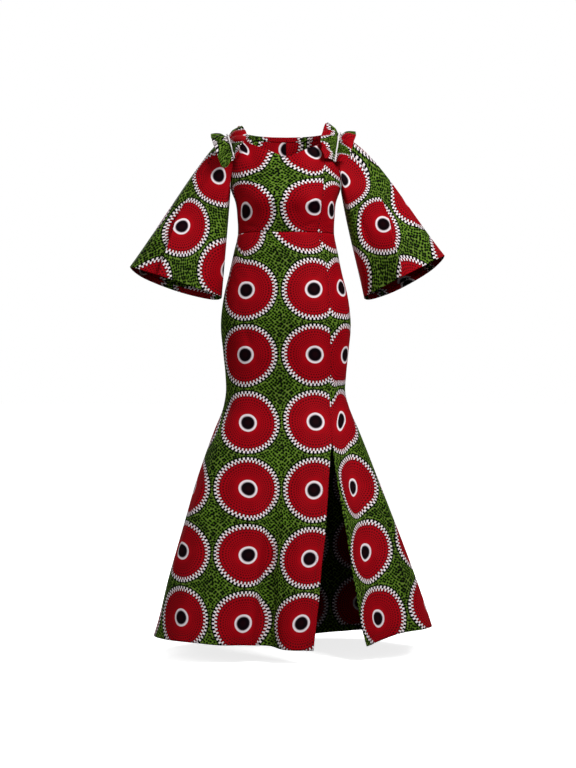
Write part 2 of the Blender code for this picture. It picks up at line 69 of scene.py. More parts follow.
class Side(Enum):
    """The wearer's own side, with its direction along X."""

    RIGHT = -1
    LEFT = 1

    @property
    def label(self) -> str:
        """Name used in node and piece names."""
        return self.name.lower()


# ---------------------------------------------------------------- curves


def spline(at: Array, knots: Array, values: Array) -> Array:
    """Smooth curve through values at rising knots.

    Formula: a cubic over each span, with the slope at each knot taken from both of its sides.

    Args:
        at: Places to read; those outside the knots are read at the nearest end.
        knots: Rising places of the values.
        values: One row for each knot.

    Returns:
        The curve at those places, one row each.
    """
    knots, values = np.asarray(knots, float), np.asarray(values, float)
    slopes = np.gradient(values, knots, axis=0)
    at = np.clip(np.asarray(at, float), knots[0], knots[-1])
    low = np.clip(np.searchsorted(knots, at, side="right") - 1, 0, len(knots) - 2)
    span = knots[low + 1] - knots[low]
    t = (at - knots[low]) / span
    if values.ndim > 1:
        span, t = span[..., None], t[..., None]
    rise = values[low + 1] - values[low]
    near = slopes[low] * span - rise
    far = rise - slopes[low + 1] * span
    return values[low] + rise * t + t * (1 - t) * (near * (1 - t) + far * t)


def table_spline(at: Array, rows: tuple) -> Array:
    """Smooth curve through a table whose first column is where each row lies, in any order."""
    data = np.array(sorted(rows), float)
    return spline(at, data[:, 0], data[:, 1:])


def curve_by_length(at: Array, points: tuple) -> Array:
    """Smooth curve through points, read at 0 to 1 of the way along it by chord length.

    Args:
        at: Shares of the way along.
        points: The points, first to last.

    Returns:
        The curve's points.
    """
    points = np.array(points, float)
    steps = np.linalg.norm(np.diff(points, axis=0), axis=1)
    return spline(at, np.concatenate([[0], np.cumsum(steps)]) / steps.sum(), points)


def cubic(start: Array, leave: Array, end: Array, arrive: Array, t: Array) -> Array:
    """Cubic from start to end.

    Formula: Hermite's, with the whole rise of each end's direction given.

    Args:
        start: First points.
        leave: Directions in which it leaves them.
        end: Last points.
        arrive: Directions in which it reaches them.
        t: 0 at the start, 1 at the end.

    Returns:
        Points at t.
    """
    curve = start * (1 + 2 * t) * (1 - t) ** 2 + leave * t * (1 - t) ** 2
    return curve + end * t * t * (3 - 2 * t) - arrive * t * t * (1 - t)


def smooth_step(value: Array) -> Array:
    """Eases from 0 to 1: three times the square less twice the cube."""
    value = np.clip(value, 0, 1)
    return value * value * (3 - 2 * value)


def bell(value: Array) -> Array:
    """Bell curve: e to minus the square, 1 at the middle."""
    return np.exp(-value * value)


def blend(first: Array, second: Array, share: Array) -> Array:
    """The first where share is 0, the second where it is 1, and evenly between."""
    return first * (1 - share) + second * share


def unit(vectors: Array) -> Array:
    """Vectors of length 1 in the same directions."""
    return vectors / np.maximum(np.linalg.norm(vectors, axis=-1, keepdims=True), 1e-9)


def half_turn(degrees: Array) -> Array:
    """The same turn between -180 and 180 degrees."""
    return (degrees + 180) % 360 - 180


def arc_length(points: Array, axis: int) -> Array:
    """Length from a grid's first point down its columns (axis 0) or along its rows (axis 1)."""
    steps = np.linalg.norm(np.diff(points, axis=axis), axis=-1)
    return np.pad(np.cumsum(steps, axis=axis), [(1 - axis, 0), (axis, 0)])


def ring_closed(grid: Array) -> Array:
    """The grid with its first column again after its last."""
    return np.concatenate([grid, grid[:, :1]], axis=1)


def grid_normals(points: Array, core: Array, closed: bool = False) -> Array:
    """Unit normals of a grid: the slope along the rows crossed with the slope down the columns.

    Args:
        points: Grid of points.
        core: Points inside, from which the normals point away, in a shape that fits the grid's.
        closed: Whether the last column goes on to the first.

    Returns:
        One normal for each point.
    """
    if closed:
        wide = np.concatenate([points[:, -2:], points, points[:, :2]], axis=1)
        along = np.gradient(wide, axis=1)[:, 2:-2]
    else:
        along = np.gradient(points, axis=1)
    normal = unit(np.cross(along, np.gradient(points, axis=0)))
    return normal * (1 if np.sum(normal * (points - core)) > 0 else -1)


def placed(name: str, data: bpy.types.ID) -> bpy.types.Object:
    """A new object of that data in the scene.

    Args:
        name: The object's name.
        data: Its mesh, camera or light.

    Returns:
        The object.
    """
    made = bpy.data.objects.new(name, data)
    bpy.context.scene.collection.objects.link(made)
    return made


# ---------------------------------------------------------------- the worn form


@dataclass(frozen=True)
class WornForm:
    """The dress's form over the body, as level sections. All sizes are in mm."""

    # height, half width right, half width left, depth front, depth back, front squareness
    sections: tuple = (
        (-1340, 352, 392, 240, 306, 3.7), (-1263, 327, 370, 228, 290, 3.7),
        (-1140, 299, 329, 204, 262, 3.6), (-1014, 265, 285, 176, 228, 3.4),
        (-890, 231, 239, 147, 184, 3.0), (-765, 187, 190, 119, 136, 2.5),
        (-700, 162, 163, 104, 113, 2.3), (-665, 156, 154, 98, 106, 2.3),
        (-620, 157, 156, 100, 112, 2.3), (-560, 163, 162, 106, 123, 2.3),
        (-490, 169, 168, 110, 131, 2.3), (-420, 162, 161, 110, 127, 2.3),
        (-350, 146, 144, 105, 112, 2.3), (-300, 135, 134, 99, 97, 2.3),
        (-254, 125, 125, 93, 85, 2.3), (-210, 126, 126, 104, 91, 2.3),
        (-170, 131, 130, 118, 98, 2.3), (-135, 144, 142, 112, 99, 2.3),
        (-100, 150, 148, 99, 98, 2.3),
    )
    back_squareness: float = 2.3
    bust_across: float = 72.0
    bust_height: float = -172.0
    bust_spread: float = 40.0
    bust_rise: float = 46.0
    bust_depth: float = 9.0
    # turn from the front centre in degrees, half width, stand at the hem, top height
    folds: tuple = (
        (-76, 9, 8, -820), (-62, 8, -7, -860), (-44, 8, 8, -850), (-31, 5, -9, -960),
        (-11, 6.5, -36, -800), (5, 7, 9, -850), (57, 12, -18, -800), (80, 9, 6, -860),
        (104, 12, 14, -760), (126, 9, -16, -740), (146, 10, 14, -740), (168, 9, -14, -760),
        (-168, 9, -12, -760), (-148, 10, 15, -740), (-127, 9, -17, -740), (-105, 11, 13, -760),
        (-90, 8, -8, -800),
    )
    fold_growth: float = 1.3
    # turn in degrees, height of the hem
    hem: tuple = (
        (-180, -1336), (-135, -1318), (-90, -1286), (-62, -1285), (-46, -1285), (-34, -1291),
        (-23, -1290), (-3, -1300), (18, -1303), (42, -1297), (49, -1282), (57, -1267), (70, -1262),
        (90, -1268), (135, -1310), (180, -1336),
    )
    # height, distance from the middle of the front panel's edge and of the side front panel's
    slit_edges: tuple = (
        (-1303, 68, 207), (-1249, 74, 191), (-1169, 83, 178), (-1088, 90, 164), (-1026, 98, 155),
        (-943, 104, 140), (-840, 111, 124), (-777, 116.6, 116.6), (-683, 113, 113),
        (-604, 115, 115), (-516, 113.6, 113.6), (-431, 109, 109), (-332, 103, 103), (-282, 89, 89),
        (-254, 82, 82), (-210, 88, 88), (-170, 93, 93), (-135, 97, 97),
    )
    # across, back, height
    shoulder_seam: tuple = ((118, 6, 11), (144, 9, 5), (168, 8, -8))
    front_neckline: tuple = (
        (0, -81, -63), (29, -79, -51), (58, -73, -38), (92, -52, -24), (118, 6, 11),
    )
    back_neckline: tuple = (
        (0, 80, 8), (40, 77, 8.5), (76, 66, 10), (104, 42, 12), (118, 6, 11),
    )
    neck_share: float = 0.72
    # how the cloth reaches the neckline, in front and at the back, and the shoulder seam
    front_lean: tuple = (0, 0.42, 0.9)
    back_lean: tuple = (0, -0.12, 1.0)
    over_shoulder: tuple = (0, 1.0, 0.05)
    level_from: float = 0.55
    front_scoop: float = 0.21
    back_scoop: float = 0.14
    scoop_powers: tuple = (0.72, 0.8)
    seam_on_shoulder: float = 1 / 3
    seam_bends_from: float = 0.35
    seam_bend: float = 1.6

    def point(self, turn: Array, height: Array) -> Array:
        """Point of the form in mm.

        Formula: at each height the outline is a superellipse read by its polar angle; bell-shaped
        folds are added to its radius below the knee, and two bell-shaped mounds to its front.

        Args:
            turn: Degrees from the centre front, positive to the wearer's left.
            height: Height in mm.

        Returns:
            Points in mm.
        """
        turn, height = np.broadcast_arrays(np.asarray(turn, float), np.asarray(height, float))
        right, left, front, back, square = np.moveaxis(table_spline(height, self.sections), -1, 0)
        sin, cos = np.sin(np.radians(turn)), np.cos(np.radians(turn))
        width = np.where(sin < 0, right, left)
        depth = np.where(cos > 0, front, back)
        power = np.where(cos > 0, square, self.back_squareness)
        radius = (np.abs(sin / width) ** power + np.abs(cos / depth) ** power) ** (-1 / power)
        for place, spread, stand, top in self.folds:
            fall = np.clip((top - height) / (top - self.hem[0][1]), 0, None)
            away = half_turn(turn - place) / spread
            radius = radius + stand * bell(away) * fall**self.fold_growth
        across = radius * sin
        mound = bell((np.abs(across) - self.bust_across) / self.bust_spread)
        mound = mound * bell((height - self.bust_height) / self.bust_rise) * smooth_step(cos * 2)
        forward = radius * cos + self.bust_depth * mound
        return np.stack([across, -forward, height], axis=-1)

    def turn_at(self, across: Array, height: Array) -> Array:
        """Turn at which the front is that far from the middle, on the left.

        Formula: the superellipse's depth at that distance gives the angle.

        Args:
            across: Distance from the middle in mm.
            height: Height in mm.

        Returns:
            Turns in degrees.
        """
        sizes = table_spline(height, self.sections)
        power = sizes[..., 4]
        share = np.clip(np.asarray(across, float) / sizes[..., 1], 0, 1)
        depth = sizes[..., 2] * (1 - share**power) ** (1 / power)
        return np.degrees(np.arctan2(across, depth))

    def slit_turns(self, height: Array) -> tuple[Array, Array]:
        """Turns of the front panel's edge and of the side front panel's edge."""
        front, side_front = np.moveaxis(table_spline(height, self.slit_edges), -1, 0)
        return self.turn_at(front, height), self.turn_at(np.maximum(front, side_front), height)

    def top_edge(self, u: Array, neckline: tuple) -> Array:
        """Top edge of a half body: the neckline, then the shoulder seam out to the armhole.

        Args:
            u: -1 at the right armhole, 0 at the centre, 1 at the left armhole.
            neckline: The neckline's table.

        Returns:
            Points in mm.
        """
        size = np.abs(u)
        on_neck = curve_by_length(np.clip(size / self.neck_share, 0, 1), neckline)
        share = np.clip((size - self.neck_share) / (1 - self.neck_share), 0, 1)
        on_seam = curve_by_length(share, self.shoulder_seam)
        point = np.where((size < self.neck_share)[..., None], on_neck, on_seam)
        point[..., 0] *= np.where(u < 0, -1, 1)
        return point

    def upper(self, u: Array, v: Array, back: bool) -> Array:
        """Point above the underarm.

        Formula: each column is a cubic that leaves the form in its own direction and reaches the
        top edge leaning with the chest at the neck, and level with the ground at the shoulder.

        Args:
            u: -1 at the right armhole, 0 at the centre, 1 at the left armhole.
            v: 0 at the underarm level, 1 at the top edge.
            back: Whether this is the back.

        Returns:
            Points in mm.
        """
        u, v = np.broadcast_arrays(np.asarray(u, float), np.asarray(v, float))
        turn = 180 - 90 * u if back else 90 * u
        start = self.point(turn, UNDERARM)
        rise = self.point(turn, UNDERARM + 6) - start
        end = self.top_edge(u, self.back_neckline if back else self.front_neckline)
        length = np.linalg.norm(end - start, axis=-1, keepdims=True)
        level = (np.abs(u) / self.neck_share - self.level_from) / (1 - self.level_from)
        lean = np.array(self.back_lean if back else self.front_lean)
        over = np.array(self.over_shoulder) * (1, -1 if back else 1, 1)
        arrive = blend(lean, over, smooth_step(level)[..., None]) * length
        return cubic(start, unit(rise) * length, end, arrive, v[..., None])

    def scoop(self, v: Array, back: bool) -> Array:
        """How far the armhole cuts in.

        Formula: a power of a half sine wave.

        Args:
            v: 0 at the underarm level, 1 at the top edge.
            back: Whether this is the back.

        Returns:
            Shares of the half body.
        """
        bend, power = self.scoop_powers
        amount = self.back_scoop if back else self.front_scoop
        return amount * np.sin(np.pi * v**bend) ** power

    def seam_share(self, v: Array) -> Array:
        """Where the princess seam lies above the underarm.

        Formula: it goes straight up, then leans outwards by a power of the height.

        Args:
            v: 0 at the underarm level, 1 at the top edge.

        Returns:
            Shares of the half body.
        """
        level = float(self.slit_turns(UNDERARM)[0]) / 90
        top = self.neck_share + (1 - self.neck_share) * self.seam_on_shoulder
        rise = np.clip((v - self.seam_bends_from) / (1 - self.seam_bends_from), 0, 1)
        return level + (top - level) * rise**self.seam_bend


FORM = WornForm()


@dataclass(frozen=True)
class Crease:
    """A soft trough (negative depth) or ridge in a panel, in shares of the panel; depth in mm."""

    across: float
    down: float
    half_width: float
    half_length: float
    lean: float
    depth: float

    def relief(self, u: Array, v: Array) -> Array:
        """Height of the crease.

        Formula: a bell across its line times a bell along it.

        Args:
            u: Share across the panel.
            v: Share down the panel.

        Returns:
            Heights in mm.
        """
        away = v - self.down
        side = (u - self.across - self.lean * away) / self.half_width
        return self.depth * bell(side) * bell(away / self.half_length)


# the creases of each panel, by the name of the panel's node
CREASES = {
    "skirt_front": (
        (0.735, 0.92, 0.034, 0.26, 0.10, -15.0), (0.865, 0.72, 0.034, 0.20, 0.28, 7.0),
        (0.41, 0.80, 0.038, 0.24, 0.06, -7.0), (0.23, 0.74, 0.034, 0.19, -0.10, 4.9),
        (0.58, 0.62, 0.030, 0.15, 0.12, 2.2), (0.52, 0.93, 0.022, 0.10, 0.08, 2.7),
        (0.25, 0.050, 0.050, 0.020, 5.0, -1.9), (0.33, 0.086, 0.048, 0.018, 4.4, -1.6),
        (0.21, 0.105, 0.040, 0.022, 3.6, 1.4), (0.86, 0.050, 0.050, 0.020, -5.0, -1.8),
        (0.92, 0.100, 0.040, 0.030, -2.6, -1.9), (0.55, 0.160, 0.028, 0.060, -0.6, -1.5),
        (0.35, 0.240, 0.030, 0.070, 0.8, -2.0), (0.70, 0.310, 0.032, 0.080, 0.5, -1.8),
        (0.47, 0.420, 0.030, 0.110, -0.3, -1.9), (0.20, 0.300, 0.100, 0.050, 0.9, -2.2),
        (0.345, 0.012, 0.007, 0.040, 0.0, -1.5), (0.15, 0.430, 0.050, 0.045, 0.5, -5.0),
    ),
    "skirt_side_front": (
        (0.45, 0.058, 0.20, 0.013, 8.0, -1.8), (0.60, 0.108, 0.18, 0.018, 6.0, -1.6),
        (0.32, 0.200, 0.12, 0.050, 1.5, -1.6), (0.60, 0.360, 0.20, 0.050, 1.2, -1.9),
        (0.55, 0.750, 0.07, 0.220, 0.15, -4.3), (0.27, 0.820, 0.06, 0.180, 0.1, 3.5),
        (0.78, 0.880, 0.05, 0.140, -0.1, 2.7),
    ),
    "skirt_back_right": (
        (0.24, 0.80, 0.034, 0.24, 0.06, -4.9), (0.48, 0.70, 0.038, 0.26, -0.08, 4.1),
        (0.74, 0.85, 0.030, 0.18, 0.10, -4.1), (0.60, 0.95, 0.024, 0.09, 0.05, 3.0),
        (0.35, 0.33, 0.160, 0.03, 1.4, -2.4), (0.55, 0.39, 0.180, 0.035, 1.1, -2.0),
        (0.16, 0.10, 0.080, 0.020, 5.0, -1.9), (0.58, 0.07, 0.070, 0.018, -5.0, -1.8),
        (0.78, 0.12, 0.050, 0.030, -3.0, -1.8), (0.12, 0.22, 0.040, 0.060, 0.8, -1.6),
        (0.40, 0.47, 0.030, 0.120, 0.3, -2.2),
    ),
    "skirt_back_left": (
        (0.72, 0.83, 0.036, 0.22, -0.05, -4.6), (0.44, 0.76, 0.040, 0.22, 0.09, 4.3),
        (0.20, 0.88, 0.032, 0.16, -0.08, -4.3), (0.88, 0.92, 0.020, 0.12, 0.02, 2.7),
        (0.62, 0.31, 0.150, 0.03, -1.5, -2.3), (0.42, 0.42, 0.160, 0.03, -1.0, -2.0),
        (0.82, 0.09, 0.080, 0.020, -5.0, -1.8), (0.36, 0.06, 0.070, 0.018, 4.6, -1.9),
        (0.18, 0.13, 0.050, 0.028, 3.2, -1.6), (0.86, 0.25, 0.036, 0.070, -0.6, -1.8),
        (0.55, 0.55, 0.028, 0.110, -0.2, -2.0),
    ),
    "bodice_front": (
        (0.24, 0.49, 0.022, 0.070, 1.5, -2.3), (0.30, 0.54, 0.020, 0.055, 1.4, 1.4),
        (0.32, 0.60, 0.024, 0.060, 1.2, -1.8), (0.20, 0.70, 0.026, 0.050, 1.0, -1.5),
        (0.20, 0.93, 0.050, 0.026, 3.0, -2.0), (0.25, 0.88, 0.056, 0.030, 2.4, 1.4),
        (0.34, 0.955, 0.050, 0.020, 3.5, -1.6), (0.93, 0.93, 0.046, 0.026, -3.0, -1.9),
        (0.86, 0.96, 0.050, 0.018, -4.0, -1.5), (0.75, 0.78, 0.028, 0.140, 0.25, -1.4),
        (0.52, 0.80, 0.034, 0.150, -0.2, -1.2), (0.60, 0.12, 0.030, 0.080, 0.5, -1.1),
        (0.88, 0.42, 0.022, 0.090, -0.5, -1.2),
    ),
    "bodice_side_front": (
        (0.60, 0.74, 0.28, 0.024, 5.0, -1.9), (0.45, 0.82, 0.28, 0.026, 4.0, 1.4),
        (0.60, 0.90, 0.28, 0.020, -6.0, -2.0), (0.40, 0.955, 0.28, 0.016, -7.0, -1.6),
        (0.35, 0.55, 0.22, 0.050, 3.0, -1.5),
    ),
    "bodice_back_right": (
        (0.80, 0.45, 0.045, 0.080, -1.4, -2.2), (0.70, 0.52, 0.045, 0.070, -1.2, 1.4),
        (0.30, 0.90, 0.100, 0.026, 2.5, -2.0), (0.60, 0.94, 0.090, 0.022, 2.0, -1.6),
        (0.45, 0.84, 0.120, 0.026, 3.0, -1.8), (0.50, 0.60, 0.040, 0.160, 0.2, -1.4),
        (0.18, 0.20, 0.040, 0.080, 0.6, -1.2),
    ),
    "bodice_back_left": (
        (0.22, 0.47, 0.050, 0.070, 1.3, -2.0), (0.33, 0.58, 0.045, 0.060, 1.0, 1.4),
        (0.66, 0.91, 0.100, 0.024, -2.8, -1.9), (0.38, 0.95, 0.090, 0.020, -2.2, -1.8),
        (0.58, 0.85, 0.110, 0.024, -3.2, -1.6), (0.46, 0.66, 0.040, 0.130, -0.3, -1.4),
        (0.80, 0.24, 0.036, 0.080, -0.5, -1.2),
    ),
    "sleeve_right": (
        (0.80, 0.52, 0.018, 0.22, 0.03, -3.1), (0.87, 0.72, 0.018, 0.20, 0.05, 2.8),
        (0.60, 0.46, 0.018, 0.20, -0.10, -2.8), (0.55, 0.74, 0.020, 0.22, 0.02, 3.4),
        (0.42, 0.50, 0.020, 0.28, 0.05, -3.6), (0.30, 0.66, 0.020, 0.24, -0.05, 3.6),
        (0.18, 0.48, 0.018, 0.22, 0.02, -2.8), (0.76, 0.15, 0.012, 0.06, -0.30, -1.7),
        (0.71, 0.19, 0.012, 0.07, -0.20, 1.3), (0.73, 0.84, 0.016, 0.14, 0.04, -2.5),
    ),
    "sleeve_left": (
        (0.20, 0.56, 0.018, 0.24, 0.03, -3.1), (0.14, 0.74, 0.020, 0.20, -0.05, 2.8),
        (0.40, 0.44, 0.020, 0.20, 0.10, -2.8), (0.46, 0.70, 0.020, 0.24, 0.02, 3.1),
        (0.60, 0.52, 0.020, 0.30, -0.05, -3.5), (0.72, 0.64, 0.020, 0.24, 0.05, 3.5),
        (0.83, 0.48, 0.018, 0.22, 0.0, -2.8), (0.24, 0.14, 0.012, 0.06, 0.30, -1.7),
        (0.29, 0.18, 0.012, 0.07, 0.20, 1.3), (0.35, 0.86, 0.016, 0.12, -0.04, -2.5),
    ),
}


# ---------------------------------------------------------------- colours and nodes


def linear(colour: str) -> tuple[float, float, float, float]:
    """Linear red, green, blue and alpha of an sRGB hex value, six digits after a #."""
    parts = [int(colour[i : i + 2], 16) / 255 for i in (1, 3, 5)]
    return (*((c / 12.92 if c <= 0.04045 else ((c + 0.055) / 1.055) ** 2.4) for c in parts), 1.0)


# nodes that are used often, each as its type and its mode
PLUS, LESS, TIMES, OVER = "Math.ADD", "Math.SUBTRACT", "Math.MULTIPLY", "Math.DIVIDE"
RAMP, MIX = "MapRange.SMOOTHSTEP", "Mix.RGBA"


class NodeGraph:
    """The node tree of a material or a world, with one helper that adds a node."""

    modes = {
        "Math": "operation", "VectorMath": "operation", "MapRange": "interpolation_type",
        "Mix": "data_type", "TexVoronoi": "voronoi_dimensions", "UVMap": "uv_map",
    }

    def __init__(self, owner: Material | World, shader: str = "Principled BSDF") -> None:
        """Starts with only the owner's shader and output.

        Args:
            owner: The material or world.
            shader: Name of its shader node.
        """
        owner.use_nodes = True
        self.owner, self.tree = owner, owner.node_tree
        self.shader = self.tree.nodes[shader]

    def plug(self, target: NodeSocket, value: object) -> None:
        """Links a node or a socket to an input, or sets the input to a value.

        Args:
            target: The input.
            value: A value, a node whose first output is linked, a socket, or None to leave it.
        """
        if isinstance(value, Node):
            value = next(output for output in value.outputs if output.enabled)
        if isinstance(value, NodeSocket):
            self.tree.links.new(value, target)
        elif value is not None:
            target.default_value = value

    def add(self, kind: str, *inputs: object) -> Node:
        """Adds a node with its mode, values and links.

        Args:
            kind: The node's type without its prefix, then a dot and its mode if it has one.
            *inputs: For each input that this mode uses, in order: a value, a node or socket to
                link, or None to leave it. A ramp rises from 0 at the first place after its value
                to 1 at the second, and falls where the second is the lower.

        Returns:
            The node.
        """
        kind, _, mode = kind.partition(".")
        node = self.tree.nodes.new("ShaderNode" + kind)
        if mode:
            setattr(node, self.modes[kind], mode)
        for target, value in zip([socket for socket in node.inputs if socket.enabled], inputs):
            self.plug(target, value)
        return node

    def finish(self, **inputs: object) -> Material | World:
        """Gives the shader its inputs.

        Args:
            **inputs: Values or nodes by the name of the input, with _ for each space.

        Returns:
            The owner.
        """
        for name, value in inputs.items():
            self.plug(self.shader.inputs[name.replace("_", " ")], value)
        return self.owner


@dataclass(frozen=True)
class WaxPrint:
    """Printed waxed cotton: plain weave, printed right through with ringed discs on green.

    The print gives the eye its sharp toothed discs, the crackled speckle its life, and the finish
    a faint waxy sheen. Sizes are in mm in the flat cloth. The edges and fades are pairs of
    distances from a disc's middle, in shares of its radius, between which one colour gives way to
    another; a band has two such pairs.
    """

    name: str = "wax_printed_cotton"
    pitch: float = 172.0
    disc_radius: float = 80.0
    teeth: int = 50
    centre: str = "#0C0207"
    centre_glow: str = "#190409"
    ring_white: str = "#EFE3E8"
    ring_grey: str = "#3A2E36"
    red: str = "#A10512"
    red_dark: str = "#50050D"
    black: str = "#050404"
    green: str = "#3E5E0E"
    green_light: str = "#58801A"
    green_grey: str = "#6B7C3A"
    red_edge: tuple = (0.925, 0.915)
    ring_edge: tuple = (0.296, 0.278)
    ring_fade: tuple = (0.245, 0.195)
    eye_edge: tuple = (0.204, 0.186)
    eye_fade: tuple = (0.05, 0.14)
    inner_band: tuple = (0.848, 0.858, 0.938, 0.928)
    outer_band: tuple = (0.928, 0.938, 1.048, 1.036)
    tips_edge: tuple = (1.014, 1.004)
    dots_edge: tuple = (0.36, 0.44)
    dots_start: float = 0.42
    gap_shade: float = 0.45
    # how wide the teeth are, and the soft edges of teeth, notches and tips, in a wave from -1 to 1
    point_growth: tuple = (0.85, 0.935, -0.36, 0.10)
    point_edge: tuple = (0.11, -0.11)
    notch_edge: tuple = (0.10, -0.10)
    tip_edge: tuple = (-0.06, 0.16)
    # the dots' radius as the disc's radius grows, and their soft edge, in steps of the dot grid
    dot_growth: tuple = (0.38, 0.84, 0.24, 0.34)
    dot_edge: tuple = (0.06, -0.06)
    speck: float = 6.8
    speck_stretch: float = 1.15
    speck_scatter: float = 0.48
    speck_edge: tuple = (0.45, 0.37)
    halo_edge: tuple = (0.50, 0.68)
    # noises: scale per metre, detail and roughness
    ragged_noise: tuple = (260.0, 2.0)
    ragged: float = 0.36
    drift_noise: tuple = (16.0, 3.0)
    drift_edge: tuple = (0.35, 0.65)
    uneven_noise: tuple = (26.0, 3.0, 0.6)
    uneven_range: tuple = (0.3, 0.7, 0.90, 1.06)
    thread: float = 1.1  # real threads lie 0.4 mm apart; drawn wider so that they show
    thread_height: float = 0.12
    weave_strength: float = 0.22
    roughness: float = 0.66
    specular: float = 0.03
    sheen: float = 0.01
    sheen_roughness: float = 0.45

    def build(self) -> Material:
        """Makes the material, which reads the piece's UV map in metres of flat cloth.

        Returns:
            The material.
        """
        g = NodeGraph(bpy.data.materials.new(self.name))
        uv = g.add("UVMap.cloth")
        split = g.add("SeparateXYZ", uv)
        pitch, radius = self.pitch * MM, self.disc_radius * MM
        local = []
        for axis in (0, 1):
            cell = g.add(PLUS, g.add(OVER, split.outputs[axis], pitch), 0.5)
            off = g.add(LESS, g.add("Math.FRACT", cell), 0.5)
            local.append(g.add(TIMES, off, pitch / radius))
        x, y = local
        r = self._distance(g, x, y)
        angle = g.add("Math.ARCTAN2", y, x)
        turn = g.add(TIMES, angle, self.teeth / (2 * math.pi))  # counts the teeth round

        ground = self._ground(g, uv, r, angle)
        colour = g.add(MIX, g.add(RAMP, r, *self.red_edge), ground, self._red(g, r, turn))
        colour = self._rim(g, r, turn, colour)
        for edge, fade, outer, inner in (
            (self.ring_edge, self.ring_fade, self.ring_white, self.ring_grey),
            (self.eye_edge, self.eye_fade, self.centre_glow, self.centre),
        ):
            shade = g.add(MIX, g.add(RAMP, r, *fade), linear(outer), linear(inner))
            colour = g.add(MIX, g.add(RAMP, r, *edge), colour, shade)

        uneven = g.add("TexNoise", uv, *self.uneven_noise)
        shade = g.add("MapRange", uneven, *self.uneven_range)
        return g.finish(
            Base_Color=g.add("VectorMath.SCALE", colour, shade), Roughness=self.roughness,
            Specular_IOR_Level=self.specular, Sheen_Weight=self.sheen,
            Sheen_Roughness=self.sheen_roughness,
            Normal=self._weave(g, split),
        )

    @staticmethod
    def _distance(g: NodeGraph, x: Node, y: Node) -> Node:
        """Root of the sum of two squares."""
        return g.add("Math.SQRT", g.add(PLUS, g.add(TIMES, x, x), g.add(TIMES, y, y)))

    def _ground(self, g: NodeGraph, uv: Node, r: Node, angle: Node) -> Node:
        """Green ground with black specks that lie loosely in rings round the discs.

        Formula: cells on a grid of angle and distance are dark near their middles, with a ragged
        edge.

        Args:
            g: The node tree.
            uv: Place in the cloth.
            r: Distance from the disc's middle.
            angle: Angle round it.

        Returns:
            The colour.
        """
        around = g.add(TIMES, angle, self.speck_stretch * self.disc_radius * MM)
        out = g.add(TIMES, r, self.disc_radius * MM)
        place = g.add("CombineXYZ", around, out, 0.0)
        scatter = self.speck_scatter
        cells = g.add("TexVoronoi.2D", place, 1000 / self.speck, None, None, None, scatter)
        ragged = g.add(LESS, g.add("TexNoise", uv, *self.ragged_noise), 0.5)
        edge = g.add(PLUS, cells, g.add(TIMES, ragged, self.ragged))
        drift = g.add(RAMP, g.add("TexNoise", uv, *self.drift_noise), *self.drift_edge)
        green = g.add(MIX, drift, linear(self.green), linear(self.green_light))
        green = g.add(MIX, g.add(RAMP, edge, *self.halo_edge), green, linear(self.green_grey))
        return g.add(MIX, g.add(RAMP, edge, *self.speck_edge), green, linear(self.black))

    def _red(self, g: NodeGraph, r: Node, turn: Node) -> Node:
        """Red disc with rings of dark dots that grow and spread outwards.

        The dots sit on a grid of turn against the logarithm of the radius, every other ring moved
        by half a step, so each is as wide as it is high at any radius.

        Args:
            g: The node tree.
            r: Distance from the disc's middle.
            turn: Turn counted in teeth.

        Returns:
            The colour.
        """
        step = 2 * math.pi / self.teeth
        grown = g.add("Math.LOGARITHM", g.add(OVER, r, self.dots_start), math.e)
        rings = g.add(OVER, grown, step)
        odd = g.add(TIMES, g.add("Math.MODULO", g.add("Math.FLOOR", rings), 2.0), 0.5)
        dx = g.add(LESS, g.add("Math.FRACT", g.add(PLUS, turn, odd)), 0.5)
        dy = g.add(LESS, g.add("Math.FRACT", rings), 0.5)
        size = g.add("MapRange", r, *self.dot_growth)
        dots = g.add(RAMP, g.add(LESS, self._distance(g, dx, dy), size), *self.dot_edge)
        dots = g.add(TIMES, dots, g.add(RAMP, r, *self.dots_edge))
        return g.add(MIX, dots, linear(self.red), linear(self.red_dark))

    def _rim(self, g: NodeGraph, r: Node, turn: Node, colour: Node) -> Node:
        """Toothed rim: white teeth outside between black ones, and inside between red gaps.

        Formula: a triangle wave of the turn, cut at a level that changes outwards, draws each
        point.

        Args:
            g: The node tree.
            r: Distance from the disc's middle.
            turn: Turn counted in teeth.
            colour: The colour under the rim.

        Returns:
            The colour.
        """
        wave = g.add(LESS, g.add(TIMES, g.add("Math.PINGPONG", turn, 0.5), 4.0), 1.0)
        inner, outer = (
            g.add(TIMES, g.add(RAMP, r, *band[:2]), g.add(RAMP, r, *band[2:]))
            for band in (self.inner_band, self.outer_band)
        )
        tips = g.add(TIMES, outer, g.add(RAMP, r, *self.tips_edge))
        notch = g.add(TIMES, outer, g.add(RAMP, wave, *self.notch_edge))
        notch = g.add("Math.MAXIMUM", tips, notch)
        dark = g.add(PLUS, g.add(TIMES, inner, self.gap_shade), notch)
        colour = g.add(MIX, dark, colour, linear(self.black))
        narrow = g.add("MapRange", r, *self.point_growth)
        point = g.add(TIMES, inner, g.add(RAMP, g.add(LESS, wave, narrow), *self.point_edge))
        white = g.add(PLUS, g.add(TIMES, tips, g.add(RAMP, wave, *self.tip_edge)), point)
        return g.add(MIX, white, colour, linear(self.ring_white))

    def _weave(self, g: NodeGraph, split: Node) -> Node:
        """Normal of a plain weave: ridges both ways, each passing over every other one.

        Formula: the size of a sine one way times a cosine the other way, and the same crossed.

        Args:
            g: The node tree.
            split: Place in the cloth, split into its two parts.

        Returns:
            The normal.
        """
        along = [g.add(TIMES, out, math.pi / (self.thread * MM)) for out in split.outputs[:2]]
        waves = [
            g.add(TIMES, g.add("Math.ABSOLUTE", g.add("Math.SINE", a)), g.add("Math.COSINE", b))
            for a, b in (along, along[::-1])
        ]
        height = g.add(PLUS, *waves)
        return g.add("Bump", self.weave_strength, self.thread_height * MM, None, height)


